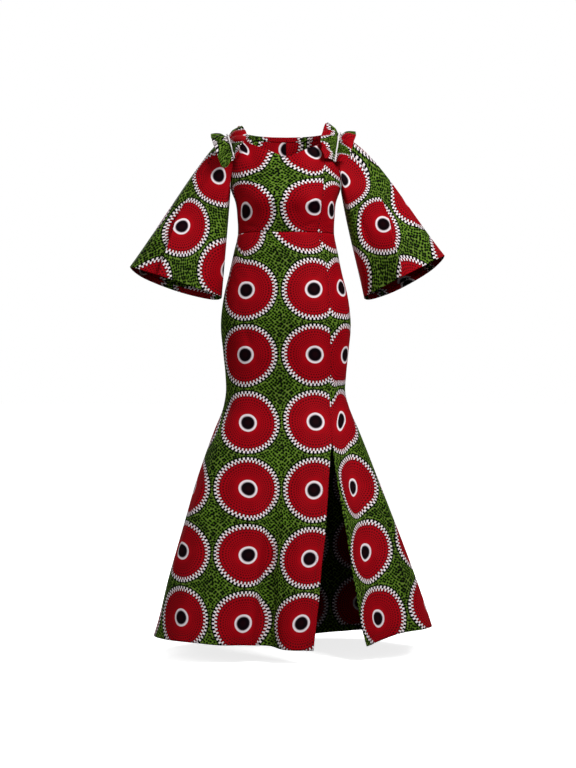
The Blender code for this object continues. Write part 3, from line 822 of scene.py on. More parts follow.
@dataclass(frozen=True)
class CottonCord:
    """Twisted white cotton cord: its strands give the eye fine slanting shadows. Sizes in mm."""

    name: str = "twisted_cotton_cord"
    colour: str = "#FAF7F6"
    shadow: str = "#D5CFD0"
    strand: float = 1.6
    strand_height: float = 0.3
    strand_strength: float = 0.35
    slant: float = 0.7
    shadow_edge: tuple = (-1.0, 0.4)
    roughness: float = 0.75

    def build(self) -> Material:
        """Makes the material, which reads the piece's UV map in metres along and round the cord.

        Formula: the strands are a sine of the way along and round.

        Returns:
            The material.
        """
        g = NodeGraph(bpy.data.materials.new(self.name))
        along, around, _ = g.add("SeparateXYZ", g.add("UVMap.cloth")).outputs
        slant = g.add(PLUS, along, g.add(TIMES, around, self.slant))
        twist = g.add("Math.SINE", g.add(TIMES, slant, 2 * math.pi / (self.strand * MM)))
        shade = g.add(RAMP, twist, *self.shadow_edge)
        return g.finish(
            Base_Color=g.add(MIX, shade, linear(self.shadow), linear(self.colour)),
            Roughness=self.roughness,
            Normal=g.add("Bump", self.strand_strength, self.strand_height * MM, None, twist),
        )


@dataclass(frozen=True)
class SewingThread:
    """Spun polyester sewing thread: dark brown, so that it sinks into the print."""

    name: str = "spun_sewing_thread"
    colour: str = "#24120C"
    highlight: str = "#3A2014"
    fibre_noise: tuple = (2200.0, 2.0)  # scale per metre, and detail
    fibre_edge: tuple = (0.45, 0.7)
    roughness: float = 0.75
    specular: float = 0.15

    def build(self) -> Material:
        """Makes the material: a fine fleck of lighter fibres over the thread's colour.

        Returns:
            The material.
        """
        g = NodeGraph(bpy.data.materials.new(self.name))
        place = g.add("TexCoord").outputs["Object"]
        fleck = g.add(RAMP, g.add("TexNoise", place, *self.fibre_noise), *self.fibre_edge)
        return g.finish(
            Base_Color=g.add(MIX, fleck, linear(self.colour), linear(self.highlight)),
            Roughness=self.roughness, Specular_IOR_Level=self.specular,
        )


# ---------------------------------------------------------------- cloth pieces


@dataclass(frozen=True)
class Border:
    """How one border of a panel is finished. Sizes are in mm.

    A seam sinks into a soft valley. hem is the width that is turned in, and stitches the distance
    from the edge at which it is sewn down. A border that opens is a seam only above that level.
    """

    seam: bool = True
    hem: float = 0.0
    stitches: float = 0.0
    opens: float | None = None
    opening: float = 12.0  # height over which a seam that opens comes apart

    def shut(self, heights: Array) -> Array:
        """Share of seam at each height: 1 where the border is sewn to the next piece.

        Args:
            heights: Heights in mm.

        Returns:
            Shares.
        """
        if self.seam and self.opens is not None:
            return smooth_step((heights - self.opens) / self.opening)
        return np.full(heights.shape, float(self.seam))


@dataclass
class Panel:
    """One cloth piece: a grid of points in mm, with its place in the printed cloth.

    It is named for its node, and carrier is the node of the panel that holds it. The borders are
    the top and bottom rows, and the start and end columns.
    """

    node: str
    points: Array
    print_at: Array
    held: str
    carrier: str = ""
    closed: bool = False
    core: Array | None = None
    top: Border = Border()
    bottom: Border = Border()
    start: Border = Border()
    end: Border = Border()
    thickness: float = 0.7
    fold_gap: float = 1.05
    seam_depth: float = 1.2
    seam_half_width: float = 3.0
    seam_calm: float = 24.0  # how near to a seam the creases fade
    fold_reach: float = 0.45  # how far a fold stands out past its edge, in shares of its gap
    turning_rows: int = 6
    turning_start: float = 0.8
    hem_blend: float = 5.0  # how softly a hem climbs over the one that crosses it
    area_share: tuple = (0.31, 0.998)  # bounds of the area given, by the flat box

    def relief(self) -> Array:
        """Height of the surface over the form in mm: creases, and a soft valley at each seam.

        Returns:
            Heights in mm.
        """
        across, down = arc_length(self.points, 1), arc_length(self.points, 0)
        u, v = across / across[:, -1:], down / np.maximum(down[-1:], 1e-6)
        amount = np.zeros(u.shape)
        for crease in CREASES.get(self.node, ()):
            amount = amount + Crease(*crease).relief(u, v)
        for border, distance in (
            (self.top, down), (self.bottom, down[-1:] - down),
            (self.start, across), (self.end, across[:, -1:] - across),
        ):
            shut = border.shut(self.points[..., 2])
            amount = amount * (1 - shut * (1 - smooth_step(distance / self.seam_calm)))
            amount = amount - self.seam_depth * shut * bell(distance / self.seam_half_width)
        return amount

    @staticmethod
    def inside(values: Array, points: Array, distance: float) -> Array:
        """Values of a grid along its last row, moved in from it by a distance in mm.

        Args:
            values: The grid to read.
            points: The grid's points, which give the spacing of the rows.
            distance: How far in.

        Returns:
            One value for each column.
        """
        spacing = np.linalg.norm(points[-1] - points[-4], axis=-1) / 3
        index = len(points) - 1 - distance / np.maximum(spacing, 1e-6)
        index = np.clip(index, 0, len(points) - 1.001)
        low, column = index.astype(int), np.arange(len(index))
        return blend(values[low, column], values[low + 1, column], (index - low)[:, None])

    def turned(self, grid: tuple, width: float, layers: Array) -> tuple:
        """Turns cloth in under the last row.

        Formula: rows go round a small fold, then back from the edge on the inner side, at the
        fold's gap times the number of layers there. The print goes on past the edge.

        Args:
            grid: Points, places in the print and outward normals.
            width: Width of the turning in mm.
            layers: Number of layers that the fold goes round, one for each column.

        Returns:
            The three, with the turning's rows after the last row.
        """
        points, print_at, normals = grid
        beyond = unit(points[-1] - self.inside(points, points, 2.0))
        gap = self.fold_gap * layers[:, None]
        rows = [points[-1] + beyond * gap * self.fold_reach - normals[-1] * gap / 2]
        prints, ups = [print_at[-1]], [normals[-1]]
        for distance in np.linspace(self.turning_start, width, self.turning_rows):
            up = self.inside(normals, points, distance)
            rows.append(self.inside(points, points, distance) - up * gap)
            prints.append(2 * print_at[-1] - self.inside(print_at, points, distance))
            ups.append(up)
        return tuple(np.concatenate([old, new]) for old, new in zip(grid, (rows, prints, ups)))

    def finished(self, points: Array, normals: Array) -> tuple[Array, Array]:
        """Turns every hem in: first at the side borders, then over them at top and bottom.

        Args:
            points: The surface.
            normals: Its outward normals.

        Returns:
            Points and places in the print, with the turnings.
        """
        if self.closed:  # the last column repeats the first, so that the print can meet itself
            points, normals = ring_closed(points), ring_closed(normals)
        grid = (points, self.print_at, normals)
        layers = np.ones(points.shape[1])
        across = arc_length(points, 1)[-1]
        for border, distance, flip in (
            (self.end, across[-1] - across, False), (self.start, across, True),
        ):
            if border.hem:
                turn = tuple(np.swapaxes(g[:, ::-1] if flip else g, 0, 1) for g in grid)
                turn = self.turned(turn, border.hem, np.ones(len(points)))
                extra = len(turn[0]) - grid[0].shape[1]
                turn = [np.swapaxes(g, 0, 1) for g in turn]
                near = border.hem + self.hem_blend - distance
                near = 2 * smooth_step(near / self.hem_blend)
                own = layers[len(layers) - len(near) :] + near
                layers = np.concatenate([own, [2.0], np.ones(extra - 1)])
                if flip:
                    layers = np.concatenate([np.ones(extra - 1), [2.0], own])
                grid = tuple(g[:, ::-1] if flip else g for g in turn)
        if self.bottom.hem:
            grid = self.turned(grid, self.bottom.hem, layers)
        if self.top.hem:
            flipped = tuple(g[::-1] for g in grid)
            grid = tuple(g[::-1] for g in self.turned(flipped, self.top.hem, layers))
        points, print_at, _ = grid
        return (points[:, :-1] if self.closed else points), print_at

    def rows_of_stitches(self, points: Array, normals: Array) -> list[tuple]:
        """Lines on the outer side along which each hem is sewn.

        Args:
            points: The surface.
            normals: Its outward normals.

        Returns:
            For each line its points and outward directions.
        """
        lines = []
        for border, axis, flip in (
            (self.top, 0, True), (self.bottom, 0, False),
            (self.start, 1, True), (self.end, 1, False),
        ):
            if border.stitches:
                p, n = (np.swapaxes(g, 0, axis) for g in (points, normals))
                p, n = (p[::-1], n[::-1]) if flip else (p, n)
                line, up = (self.inside(g, p, border.stitches) for g in (p, n))
                free = border.shut(line[:, 2]) < 0.5
                line, up = line[free], up[free]
                if self.closed:
                    line, up = (np.concatenate([g, g[:1]]) for g in (line, up))
                lines.append((line + up * (self.thickness / 2 + Stitches.sunk), up))
        return lines

    def build(self, material: Material, thread: Material) -> list:
        """Args:
            material: The cloth's finish.
            thread: The sewing thread's finish.

        Returns:
            The sheet and its stitches.
        """
        name = f"{self.node}_cloth"
        core = self.points * (0, 0, 1) if self.core is None else self.core
        normals = grid_normals(self.points, core, self.closed)
        surface = self.points + normals * self.relief()[..., None]
        normals = grid_normals(surface, core, self.closed)
        points, print_at = self.finished(surface, normals)
        piece = grid_object(name, points * MM, print_at * MM, self.closed)
        wall = piece.modifiers.new("cloth", "SOLIDIFY")
        wall.thickness, wall.offset = self.thickness * MM, 0.0
        piece.data.materials.append(material)
        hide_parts(self.node)
        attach(piece, "root")
        lines = self.rows_of_stitches(surface, normals)
        sewn = [Stitches(f"{name}_stitches", lines).build(thread)] if lines else []
        return [piece, *sewn]


@dataclass
class Stitches:
    """Rows of machine stitches: short threads that lie end to end on the cloth. Sizes in mm."""

    name: str
    lines: list
    pitch: float = 4.2  # real ones are 2.5 mm apart; drawn longer and thicker so that they show
    length: float = 3.3
    half_width: float = 0.34
    flatness: float = 0.8
    ring: int = 6
    sunk: float = 0.08

    def build(self, thread: Material) -> bpy.types.Object:
        """Makes every stitch of the lines in one mesh.

        Formula: a stitch is a spindle of six-sided rings, carried to each place along the line
        and turned to the line's own direction.

        Args:
            thread: The thread's finish.

        Returns:
            The piece.
        """
        along = np.array([-0.5, -0.36, 0.36, 0.5])[:, None] * self.length
        size = np.array([0.25, 1.0, 1.0, 0.25])[:, None] * self.half_width
        turns = np.arange(self.ring) / self.ring * 2 * np.pi
        rings = (along + 0 * turns, size * np.cos(turns), size * np.sin(turns) * self.flatness)
        shape = np.stack(rings, axis=-1).reshape(-1, 3)
        places = []
        for line, up in self.lines:
            run = arc_length(line[:, None], 0)[:, 0]
            at = np.arange(self.pitch / 2, run[-1] - self.length / 2, self.pitch)
            centre, ahead, out = (
                np.stack([np.interp(where, run, g[:, n]) for n in range(3)], axis=-1)
                for where, g in ((at, line), (at + 1.0, line), (at, up))
            )
            way = unit(ahead - centre)
            aside = unit(np.cross(out, way))
            axes = np.stack([way, aside, np.cross(way, aside)], axis=1)
            places.append(centre[:, None] + shape @ axes)
        points = np.concatenate(places)
        index = np.arange(len(shape)).reshape(-1, self.ring)
        right = np.roll(index, -1, axis=1)
        sides = np.stack([index[:-1], right[:-1], right[1:], index[1:]], axis=-1).reshape(-1, 4)
        ends = np.stack([index[0, ::-1], index[-1]])
        starts = np.arange(len(points))[:, None, None] * len(shape)
        faces = (sides + starts).reshape(-1, 4).tolist()
        faces += (ends + starts).reshape(-1, self.ring).tolist()
        mesh = bpy.data.meshes.new(self.name)
        mesh.from_pydata((points.reshape(-1, 3) * MM).tolist(), [], faces)
        mesh.shade_smooth()
        piece = placed(self.name, mesh)
        piece.data.materials.append(thread)
        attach(piece, "root")
        log.info("%s: %d stitches", self.name, len(points))
        return piece


def grid_object(
    name: str, points: Array, cloth: Array, closed: bool, capped: bool = False
) -> bpy.types.Object:
    """A mesh object from a grid of points, wound by its columns going right as its rows go down.

    Args:
        name: The object's name.
        points: Rows by columns of points, in metres.
        cloth: Rows by columns (one more column where closed) of places in the cloth, in metres.
        closed: Whether the last column goes on to the first.
        capped: Whether the first and last rows are closed by a face.

    Returns:
        The object, with a UV map named cloth.
    """
    rows, columns = points.shape[:2]
    index = np.arange(rows * columns).reshape(rows, columns)
    count = columns if closed else columns - 1
    wide = ring_closed(index)
    corners, uv = (
        np.stack([g[:-1, 1:], g[1:, 1:], g[1:, :-1], g[:-1, :-1]], axis=2)
        for g in (wide[:, : count + 1], cloth[:, : count + 1])
    )
    corners, uv = corners.reshape(-1), uv.reshape(-1, 2)
    starts = np.arange(0, corners.size, 4)
    if capped:
        starts = np.concatenate([starts, corners.size + np.array([0, columns])])
        corners = np.concatenate([corners, index[0, ::-1], index[-1]])
        uv = np.concatenate([uv, cloth[0, :columns][::-1], cloth[-1, :columns]])
    mesh = bpy.data.meshes.new(name)
    mesh.vertices.add(rows * columns)
    mesh.vertices.foreach_set("co", points.reshape(-1).astype(np.float32))
    mesh.loops.add(corners.size)
    mesh.loops.foreach_set("vertex_index", corners.astype(np.int32))
    mesh.polygons.add(len(starts))
    mesh.polygons.foreach_set("loop_start", starts.astype(np.int32))
    mesh.update(calc_edges=True)
    layer = mesh.uv_layers.new(name="cloth")
    layer.data.foreach_set("uv", uv.reshape(-1).astype(np.float32))
    mesh.shade_smooth()
    return placed(name, mesh)


@dataclass(frozen=True)
class PrintLayout:
    """Where the printed discs fall on a panel.

    columns holds, for each column of discs, its number and its rows: row number, distance across
    the panel and distance down it, in mm of flat cloth. upwards is for rows numbered from below.
    """

    columns: tuple
    upwards: bool = False

    def read(self, across: Array, down: Array) -> Array:
        """Place in the printed cloth.

        Formula: down each column of discs a smooth curve gives row number and sideways drift;
        between two columns both are blended by the distance to each.

        Args:
            across: Distance across the panel in mm.
            down: Distance down the panel in mm.

        Returns:
            Places in mm, in which the discs lie exactly a pitch apart.
        """
        pitch, way = WaxPrint.pitch, -1 if self.upwards else 1
        numbers, rows, drifts = [], [], []
        for number, table in self.columns:
            data = np.array(sorted((way * row, x, y) for row, x, y in table), float)
            step = np.array([1, 0, pitch])
            ahead = [data[0] - n * step for n in (3, 2, 1)]
            after = [data[-1] + n * step for n in (1, 2, 3)]
            data = np.concatenate([ahead, data, after])
            numbers.append(float(number))
            rows.append(spline(down, data[:, 2], data[:, 0]))
            drifts.append(spline(rows[-1], data[:, 0], data[:, 1]))
        if len(numbers) == 1:
            return np.stack([numbers[0] * pitch + across - drifts[0], rows[0] * pitch], axis=-1)
        column, row = np.full(across.shape, np.nan), np.zeros(across.shape)
        last = len(numbers) - 2
        for n in range(last + 1):
            share = (across - drifts[n]) / (drifts[n + 1] - drifts[n])
            here = np.isnan(column) & ((share <= 1) | (n == last))
            inside = np.clip(share, 0, 1)
            beyond = np.where(share < 0, (across - drifts[n]) / pitch, 0)
            beyond = beyond + np.where(share > 1, (across - drifts[n + 1]) / pitch, 0)
            value = numbers[n] + inside * (numbers[n + 1] - numbers[n]) + beyond
            column = np.where(here, value, column)
            row = np.where(here, blend(rows[n], rows[n + 1], inside), row)
        return np.stack([column * pitch, row * pitch], axis=-1)


# ---------------------------------------------------------------- skirt

SIDE_DISCS = (-28, 144, 318, 485, 659, 828, 1000)


@dataclass
class Skirt:
    """Floor-length flared skirt: front, side front with the slit between them, and two backs."""

    rows: int = 200
    front_columns: int = 130
    side_columns: int = 60
    back_columns: int = 96
    curl_front: float = 10.0
    curl_side: float = 30.0
    curl_power: float = 1.2
    # shares of the panel over which the edges curl, and over which the two hems are joined
    curl_width_front: float = 0.20
    curl_width_side: float = 0.5
    hem_joined: float = 0.35
    hem: Border = Border(False, 18.0, 16.0)
    slit: Border = Border(True, 16.0, 14.0, SLIT_TOP)
    front_print: PrintLayout = PrintLayout(
        columns=(
            (-2, ((4, -400, 664), (5, -383, 832), (6, -368, 1001))),
            (-1, ((0, -216, -20), (1, -216, 151), (2, -227, 317), (3, -217, 494), (4, -201, 664),
                  (5, -192, 832), (6, -201, 1007))),
            (0, ((0, -40, -25), (1, -40, 146), (2, -44, 311), (3, -42, 482), (4, -36, 657),
                 (5, -33, 832), (6, -39, 994))),
        )
    )
    side_print: PrintLayout = PrintLayout(
        columns=tuple(
            (number, tuple(zip(range(7), across, SIDE_DISCS)))
            for number, across in (
                (-0.465, (-30, -28, -21, -30, 8, 3, 2)), (0, (50, 52, 59, 34, 36, 38, 43)),
                (0.15, (76, 78, 85, 58, 53, 59, 64)), (0.465, (130, 132, 139, 114, 132, 121, 119)),
                (0.535, (142, 144, 151, 126, 148, 150, 134)),
                (1, (222, 224, 231, 208, 236, 252, 256)),
            )
        )
    )
    right_back_print: PrintLayout = PrintLayout(columns=((0, ((0, 62, 10), (6, 62, 1042))),))
    left_back_print: PrintLayout = PrintLayout(columns=((0, ((0, 37, -8), (6, 37, 1024))),))

    def heights(self, turns: Array) -> Array:
        """Row heights in each column, from the waist to the hem, evenly spaced."""
        hem = table_spline(turns, FORM.hem)[..., 0]
        return WAIST + (hem[None, :] - WAIST) * np.linspace(0, 1, self.rows + 1)[:, None]

    def curled(self, points: Array, share: Array, amount: float) -> Array:
        """Bends a slit edge inwards, more towards the hem.

        Formula: how far below the slit times a power of the eased share.

        Args:
            points: The grid.
            share: Share of the bend, 1 at the edge.
            amount: Bend at the hem in mm.

        Returns:
            The grid.
        """
        fall = np.clip((SLIT_TOP - points[..., 2]) / (SLIT_TOP - HEM_LEVEL), 0, None)
        points[..., 1] += amount * fall * smooth_step(share) ** self.curl_power
        return points

    def front(self) -> Array:
        """Front grid, from the right side seam to the slit.

        Returns:
            The grid.
        """
        level = np.linspace(0, 1, self.front_columns + 1)
        heights = self.heights(-90 + (float(FORM.slit_turns(HEM_LEVEL)[0]) + 90) * level)
        edge = FORM.slit_turns(heights[:, -1])[0][:, None]
        points = FORM.point(-90 + (edge + 90) * level, heights)
        return self.curled(points, (level - 1) / self.curl_width_front + 1, self.curl_front)

    def side_front(self) -> Array:
        """Side front grid, from the slit to the left side seam.

        Returns:
            The grid.
        """
        level = np.linspace(0, 1, self.side_columns + 1)
        front_edge, hem_edge = (float(turn) for turn in FORM.slit_turns(HEM_LEVEL))
        heights = self.heights(hem_edge + (90 - hem_edge) * level)
        plain = WAIST + (HEM_LEVEL - WAIST) * np.linspace(0, 1, self.rows + 1)
        joined = np.clip((plain - HEM_LEVEL) / (SLIT_TOP - HEM_LEVEL), 0, 1)[:, None]
        joined = joined * (1 - smooth_step(level / self.hem_joined))
        heights = heights + (self.heights(np.array([front_edge])) - heights) * joined
        edge = FORM.slit_turns(heights[:, 0])[1][:, None]
        points = FORM.point(edge + (90 - edge) * level, heights)
        return self.curled(points, 1 - level / self.curl_width_side, self.curl_side)

    def back(self, side: Side) -> Array:
        """Half back grid, from the centre back seam to the side seam."""
        turns = side.value * (180 - 90 * np.linspace(0, 1, self.back_columns + 1))
        return FORM.point(turns, self.heights(turns))

    def build(self, cloth: Material, thread: Material) -> list:
        """Builds and dresses the skirt's four panels.

        Args:
            cloth: The cloth's finish.
            thread: The sewing thread's finish.

        Returns:
            The pieces.
        """
        made = []
        for name, grid, middle, layout, borders in (
            ("front", self.front(), 0.62, self.front_print, {"end": self.slit}),
            ("side_front", self.side_front(), 0.5, self.side_print, {"start": self.slit}),
            ("back_right", self.back(Side.RIGHT), 0.5, self.right_back_print, {}),
            ("back_left", self.back(Side.LEFT), 0.5, self.left_back_print, {}),
        ):
            across, down = arc_length(grid, 1), arc_length(grid, 0)
            if name == "front":
                across = across - across[:, -1:]
            down = np.broadcast_to(down[:, [int(grid.shape[1] * middle)]], across.shape)
            print_at = layout.read(across, down)
            if name == "back_left":
                grid, print_at = grid[:, ::-1], print_at[:, ::-1]
            made += Panel(
                f"skirt_{name}", grid, print_at, "hung", f"bodice_{name}", bottom=self.hem,
                **borders,
            ).build(cloth, thread)
        return made


# ---------------------------------------------------------------- bodice


@dataclass
class Bodice:
    """Fitted bodice: front and side front joined by a princess seam, and two backs."""

    level_rows: int = 34
    upper_rows: int = 44
    row_power: float = 1.45
    front_columns: int = 96
    side_columns: int = 26
    back_columns: int = 60
    shoulder_columns: int = 6
    neck_columns: int = 4
    back_neck_columns: int = 6
    hem: Border = Border(False, 8.0)
    front_print: PrintLayout = PrintLayout(
        columns=(
            (0, ((0, -114, -55), (0.53, -126, -158), (1, -133, -251))),
            (1, ((0, 75.4, -66.7), (1, 80.1, -231.5))),
        ),
        upwards=True,
    )
    side_print: PrintLayout = PrintLayout(((1, ((0, 48, -60), (1, 48, -230))),), True)
    right_back_print: PrintLayout = PrintLayout(((0, ((0, -3, -62), (1, -3, -234))),), True)
    left_back_print: PrintLayout = PrintLayout(((0, ((0, 137, -80), (1, 137, -252))),), True)

    @staticmethod
    def _shares(top: Array, count: int) -> tuple[Array, Array]:
        """Even shares across a panel, and the top edge's own shares at the same columns."""
        level = np.linspace(0, 1, count + 1)
        return level, np.interp(level, np.linspace(0, 1, len(top)), top)

    def _rows(self) -> tuple[Array, Array]:
        """Heights up to the underarm, and shares above it, closest together at the top edge."""
        above = 1 - (1 - np.linspace(0, 1, self.upper_rows + 1)) ** self.row_power
        return np.linspace(WAIST, UNDERARM, self.level_rows + 1)[:, None], above[1:, None]

    def front(self) -> Array:
        """Front grid, from the right side seam and armhole to the princess seam.

        Returns:
            The grid.
        """
        neck = FORM.neck_share
        outer = np.linspace(-1, -neck, self.shoulder_columns + 1)
        middle = np.linspace(-neck, neck, 2 * self.neck_columns + 1)
        inner = np.linspace(neck, float(FORM.seam_share(np.array(1.0))), 3)
        every = np.concatenate([outer, middle[1:], inner[1:]])
        level, top = self._shares((every + 1) / (every[-1] + 1), self.front_columns)
        heights, v = self._rows()
        edge = FORM.slit_turns(heights)[0]
        lower = FORM.point(-90 + (edge + 90) * level, heights)
        left = -1 + FORM.scoop(v, back=False)
        columns = level + (top - level) * smooth_step(v)
        share = left + (FORM.seam_share(v) - left) * columns
        return np.concatenate([lower, FORM.upper(share, v, back=False)])

    def side_front(self) -> Array:
        """Side front grid, from the princess seam to the left side seam and armhole.

        Returns:
            The grid.
        """
        level = np.linspace(0, 1, self.side_columns + 1)
        heights, v = self._rows()
        edge = FORM.slit_turns(heights)[1]
        lower = FORM.point(edge + (90 - edge) * level, heights)
        right = 1 - FORM.scoop(v, back=False)
        share = FORM.seam_share(v) + (right - FORM.seam_share(v)) * level
        return np.concatenate([lower, FORM.upper(share, v, back=False)])

    def back(self, side: Side) -> Array:
        """Half back grid, from the centre back seam to the side seam and armhole.

        Args:
            side: The wearer's side.

        Returns:
            The grid.
        """
        neck = np.linspace(0, FORM.neck_share, self.back_neck_columns + 1)
        outer = np.linspace(FORM.neck_share, 1, self.shoulder_columns + 1)
        level, top = self._shares(np.concatenate([neck, outer[1:]]), self.back_columns)
        heights, v = self._rows()
        lower = FORM.point(side.value * (180 - 90 * level), heights)
        columns = level + (top - level) * smooth_step(v)
        share = side.value * (1 - FORM.scoop(v, back=True)) * columns
        return np.concatenate([lower, FORM.upper(share, v, back=True)])

    def build(self, cloth: Material, thread: Material) -> list:
        """Builds and dresses the bodice's four panels.

        Args:
            cloth: The cloth's finish.
            thread: The sewing thread's finish.

        Returns:
            The pieces.
        """
        made = []
        for name, grid, layout in (
            ("front", self.front(), self.front_print),
            ("side_front", self.side_front(), self.side_print),
            ("back_right", self.back(Side.RIGHT), self.right_back_print),
            ("back_left", self.back(Side.LEFT), self.left_back_print),
        ):
            across = arc_length(grid, 1)
            if name == "front":
                middle = np.abs(grid[..., 0]).argmin(axis=1)[:, None]
                across = across - np.take_along_axis(across, middle, 1)
            print_at = layout.read(across, -arc_length(grid, 0))
            if name == "back_left":
                grid, print_at = grid[:, ::-1], print_at[:, ::-1]
            made += Panel(
                f"bodice_{name}", grid[::-1], print_at[::-1], "draped", top=self.hem
            ).build(cloth, thread)
        return made


# ---------------------------------------------------------------- sleeves

# Each row: share of the way down, turn, stand of the fold, and cloth hidden under it.
PLEAT_RIGHT = (
    (0.0, 131, 0, 0), (0.42, 131, 0, 0), (0.55, 129, 5, 4), (0.65, 124, 10, 12),
    (0.75, 117, 13, 16), (0.85, 113, 14, 14), (1.0, 108, 14, 8),
)
PLEAT_LEFT = (
    (0.0, 112, 0, 0), (0.4, 112, 0, 0), (0.52, 109, 5, 5), (0.62, 104, 10, 14),
    (0.72, 97, 13, 17), (0.82, 92, 14, 14), (0.92, 88, 14, 9), (1.0, 83, 13, 6),
)
# Each row: a place in the flat sleeve, and how far the print is moved round it, in mm.
DRAG_RIGHT = (
    (-150, 95, -16, -2), (-150, 170, -13, 1), (-150, 245, -8, 9), (-150, 320, -10, 7),
    (-75, 95, -13, -7), (-75, 170, -3, -3), (-75, 245, 5, -2), (-75, 320, 13, -17),
    (-75, 395, 9, -12), (0, 95, 6, -5), (0, 170, 12, -2), (0, 245, 4, 0), (0, 320, 1, 6),
    (75, 95, 7, 8), (75, 170, -16, 12), (75, 245, -6, 4), (75, 320, -1, 9), (75, 395, -8, -3),
    (150, 245, 1, -6), (150, 320, -2, -8), (150, 395, -9, -9),
)
DRAG_LEFT = (
    (-150, 245, -10, -2), (-150, 320, -5, -1), (-75, 95, -16, 8), (-75, 170, -1, -2),
    (-75, 320, 10, 1), (0, 20, -11, -12), (0, 95, 2, -16), (0, 170, 13, 7), (0, 245, 4, 3),
    (0, 320, 10, 11), (75, 20, 20, 32), (75, 95, 2, -10), (75, 170, -15, -2), (75, 245, 0, -4),
    (75, 320, -4, -1), (75, 395, -20, -9), (150, 95, 8, 10), (150, 245, 2, -5),
    (150, 320, 0, -7), (150, 395, -4, -4),
)


@dataclass(frozen=True)
class SleeveShape:
    """Sizes of one bell sleeve, in mm.

    A wave is its turn, half width and stand at the hem. The pleat is a fold whose inner side lies
    over its outer side: share of the way down, turn, stand and hidden cloth. disc is where one
    printed disc lies in the flat sleeve, outwards and down from the front of the armhole, and the
    two repeats lead from it to the next discs. drag moves the print round some places.
    """

    side: Side
    hem_inner: tuple
    hem_outer: tuple
    hem_depth: float
    back_drop: float
    reach: float
    waves: tuple
    pleat: tuple
    disc: tuple
    across_repeat: tuple
    down_repeat: tuple
    drag: tuple


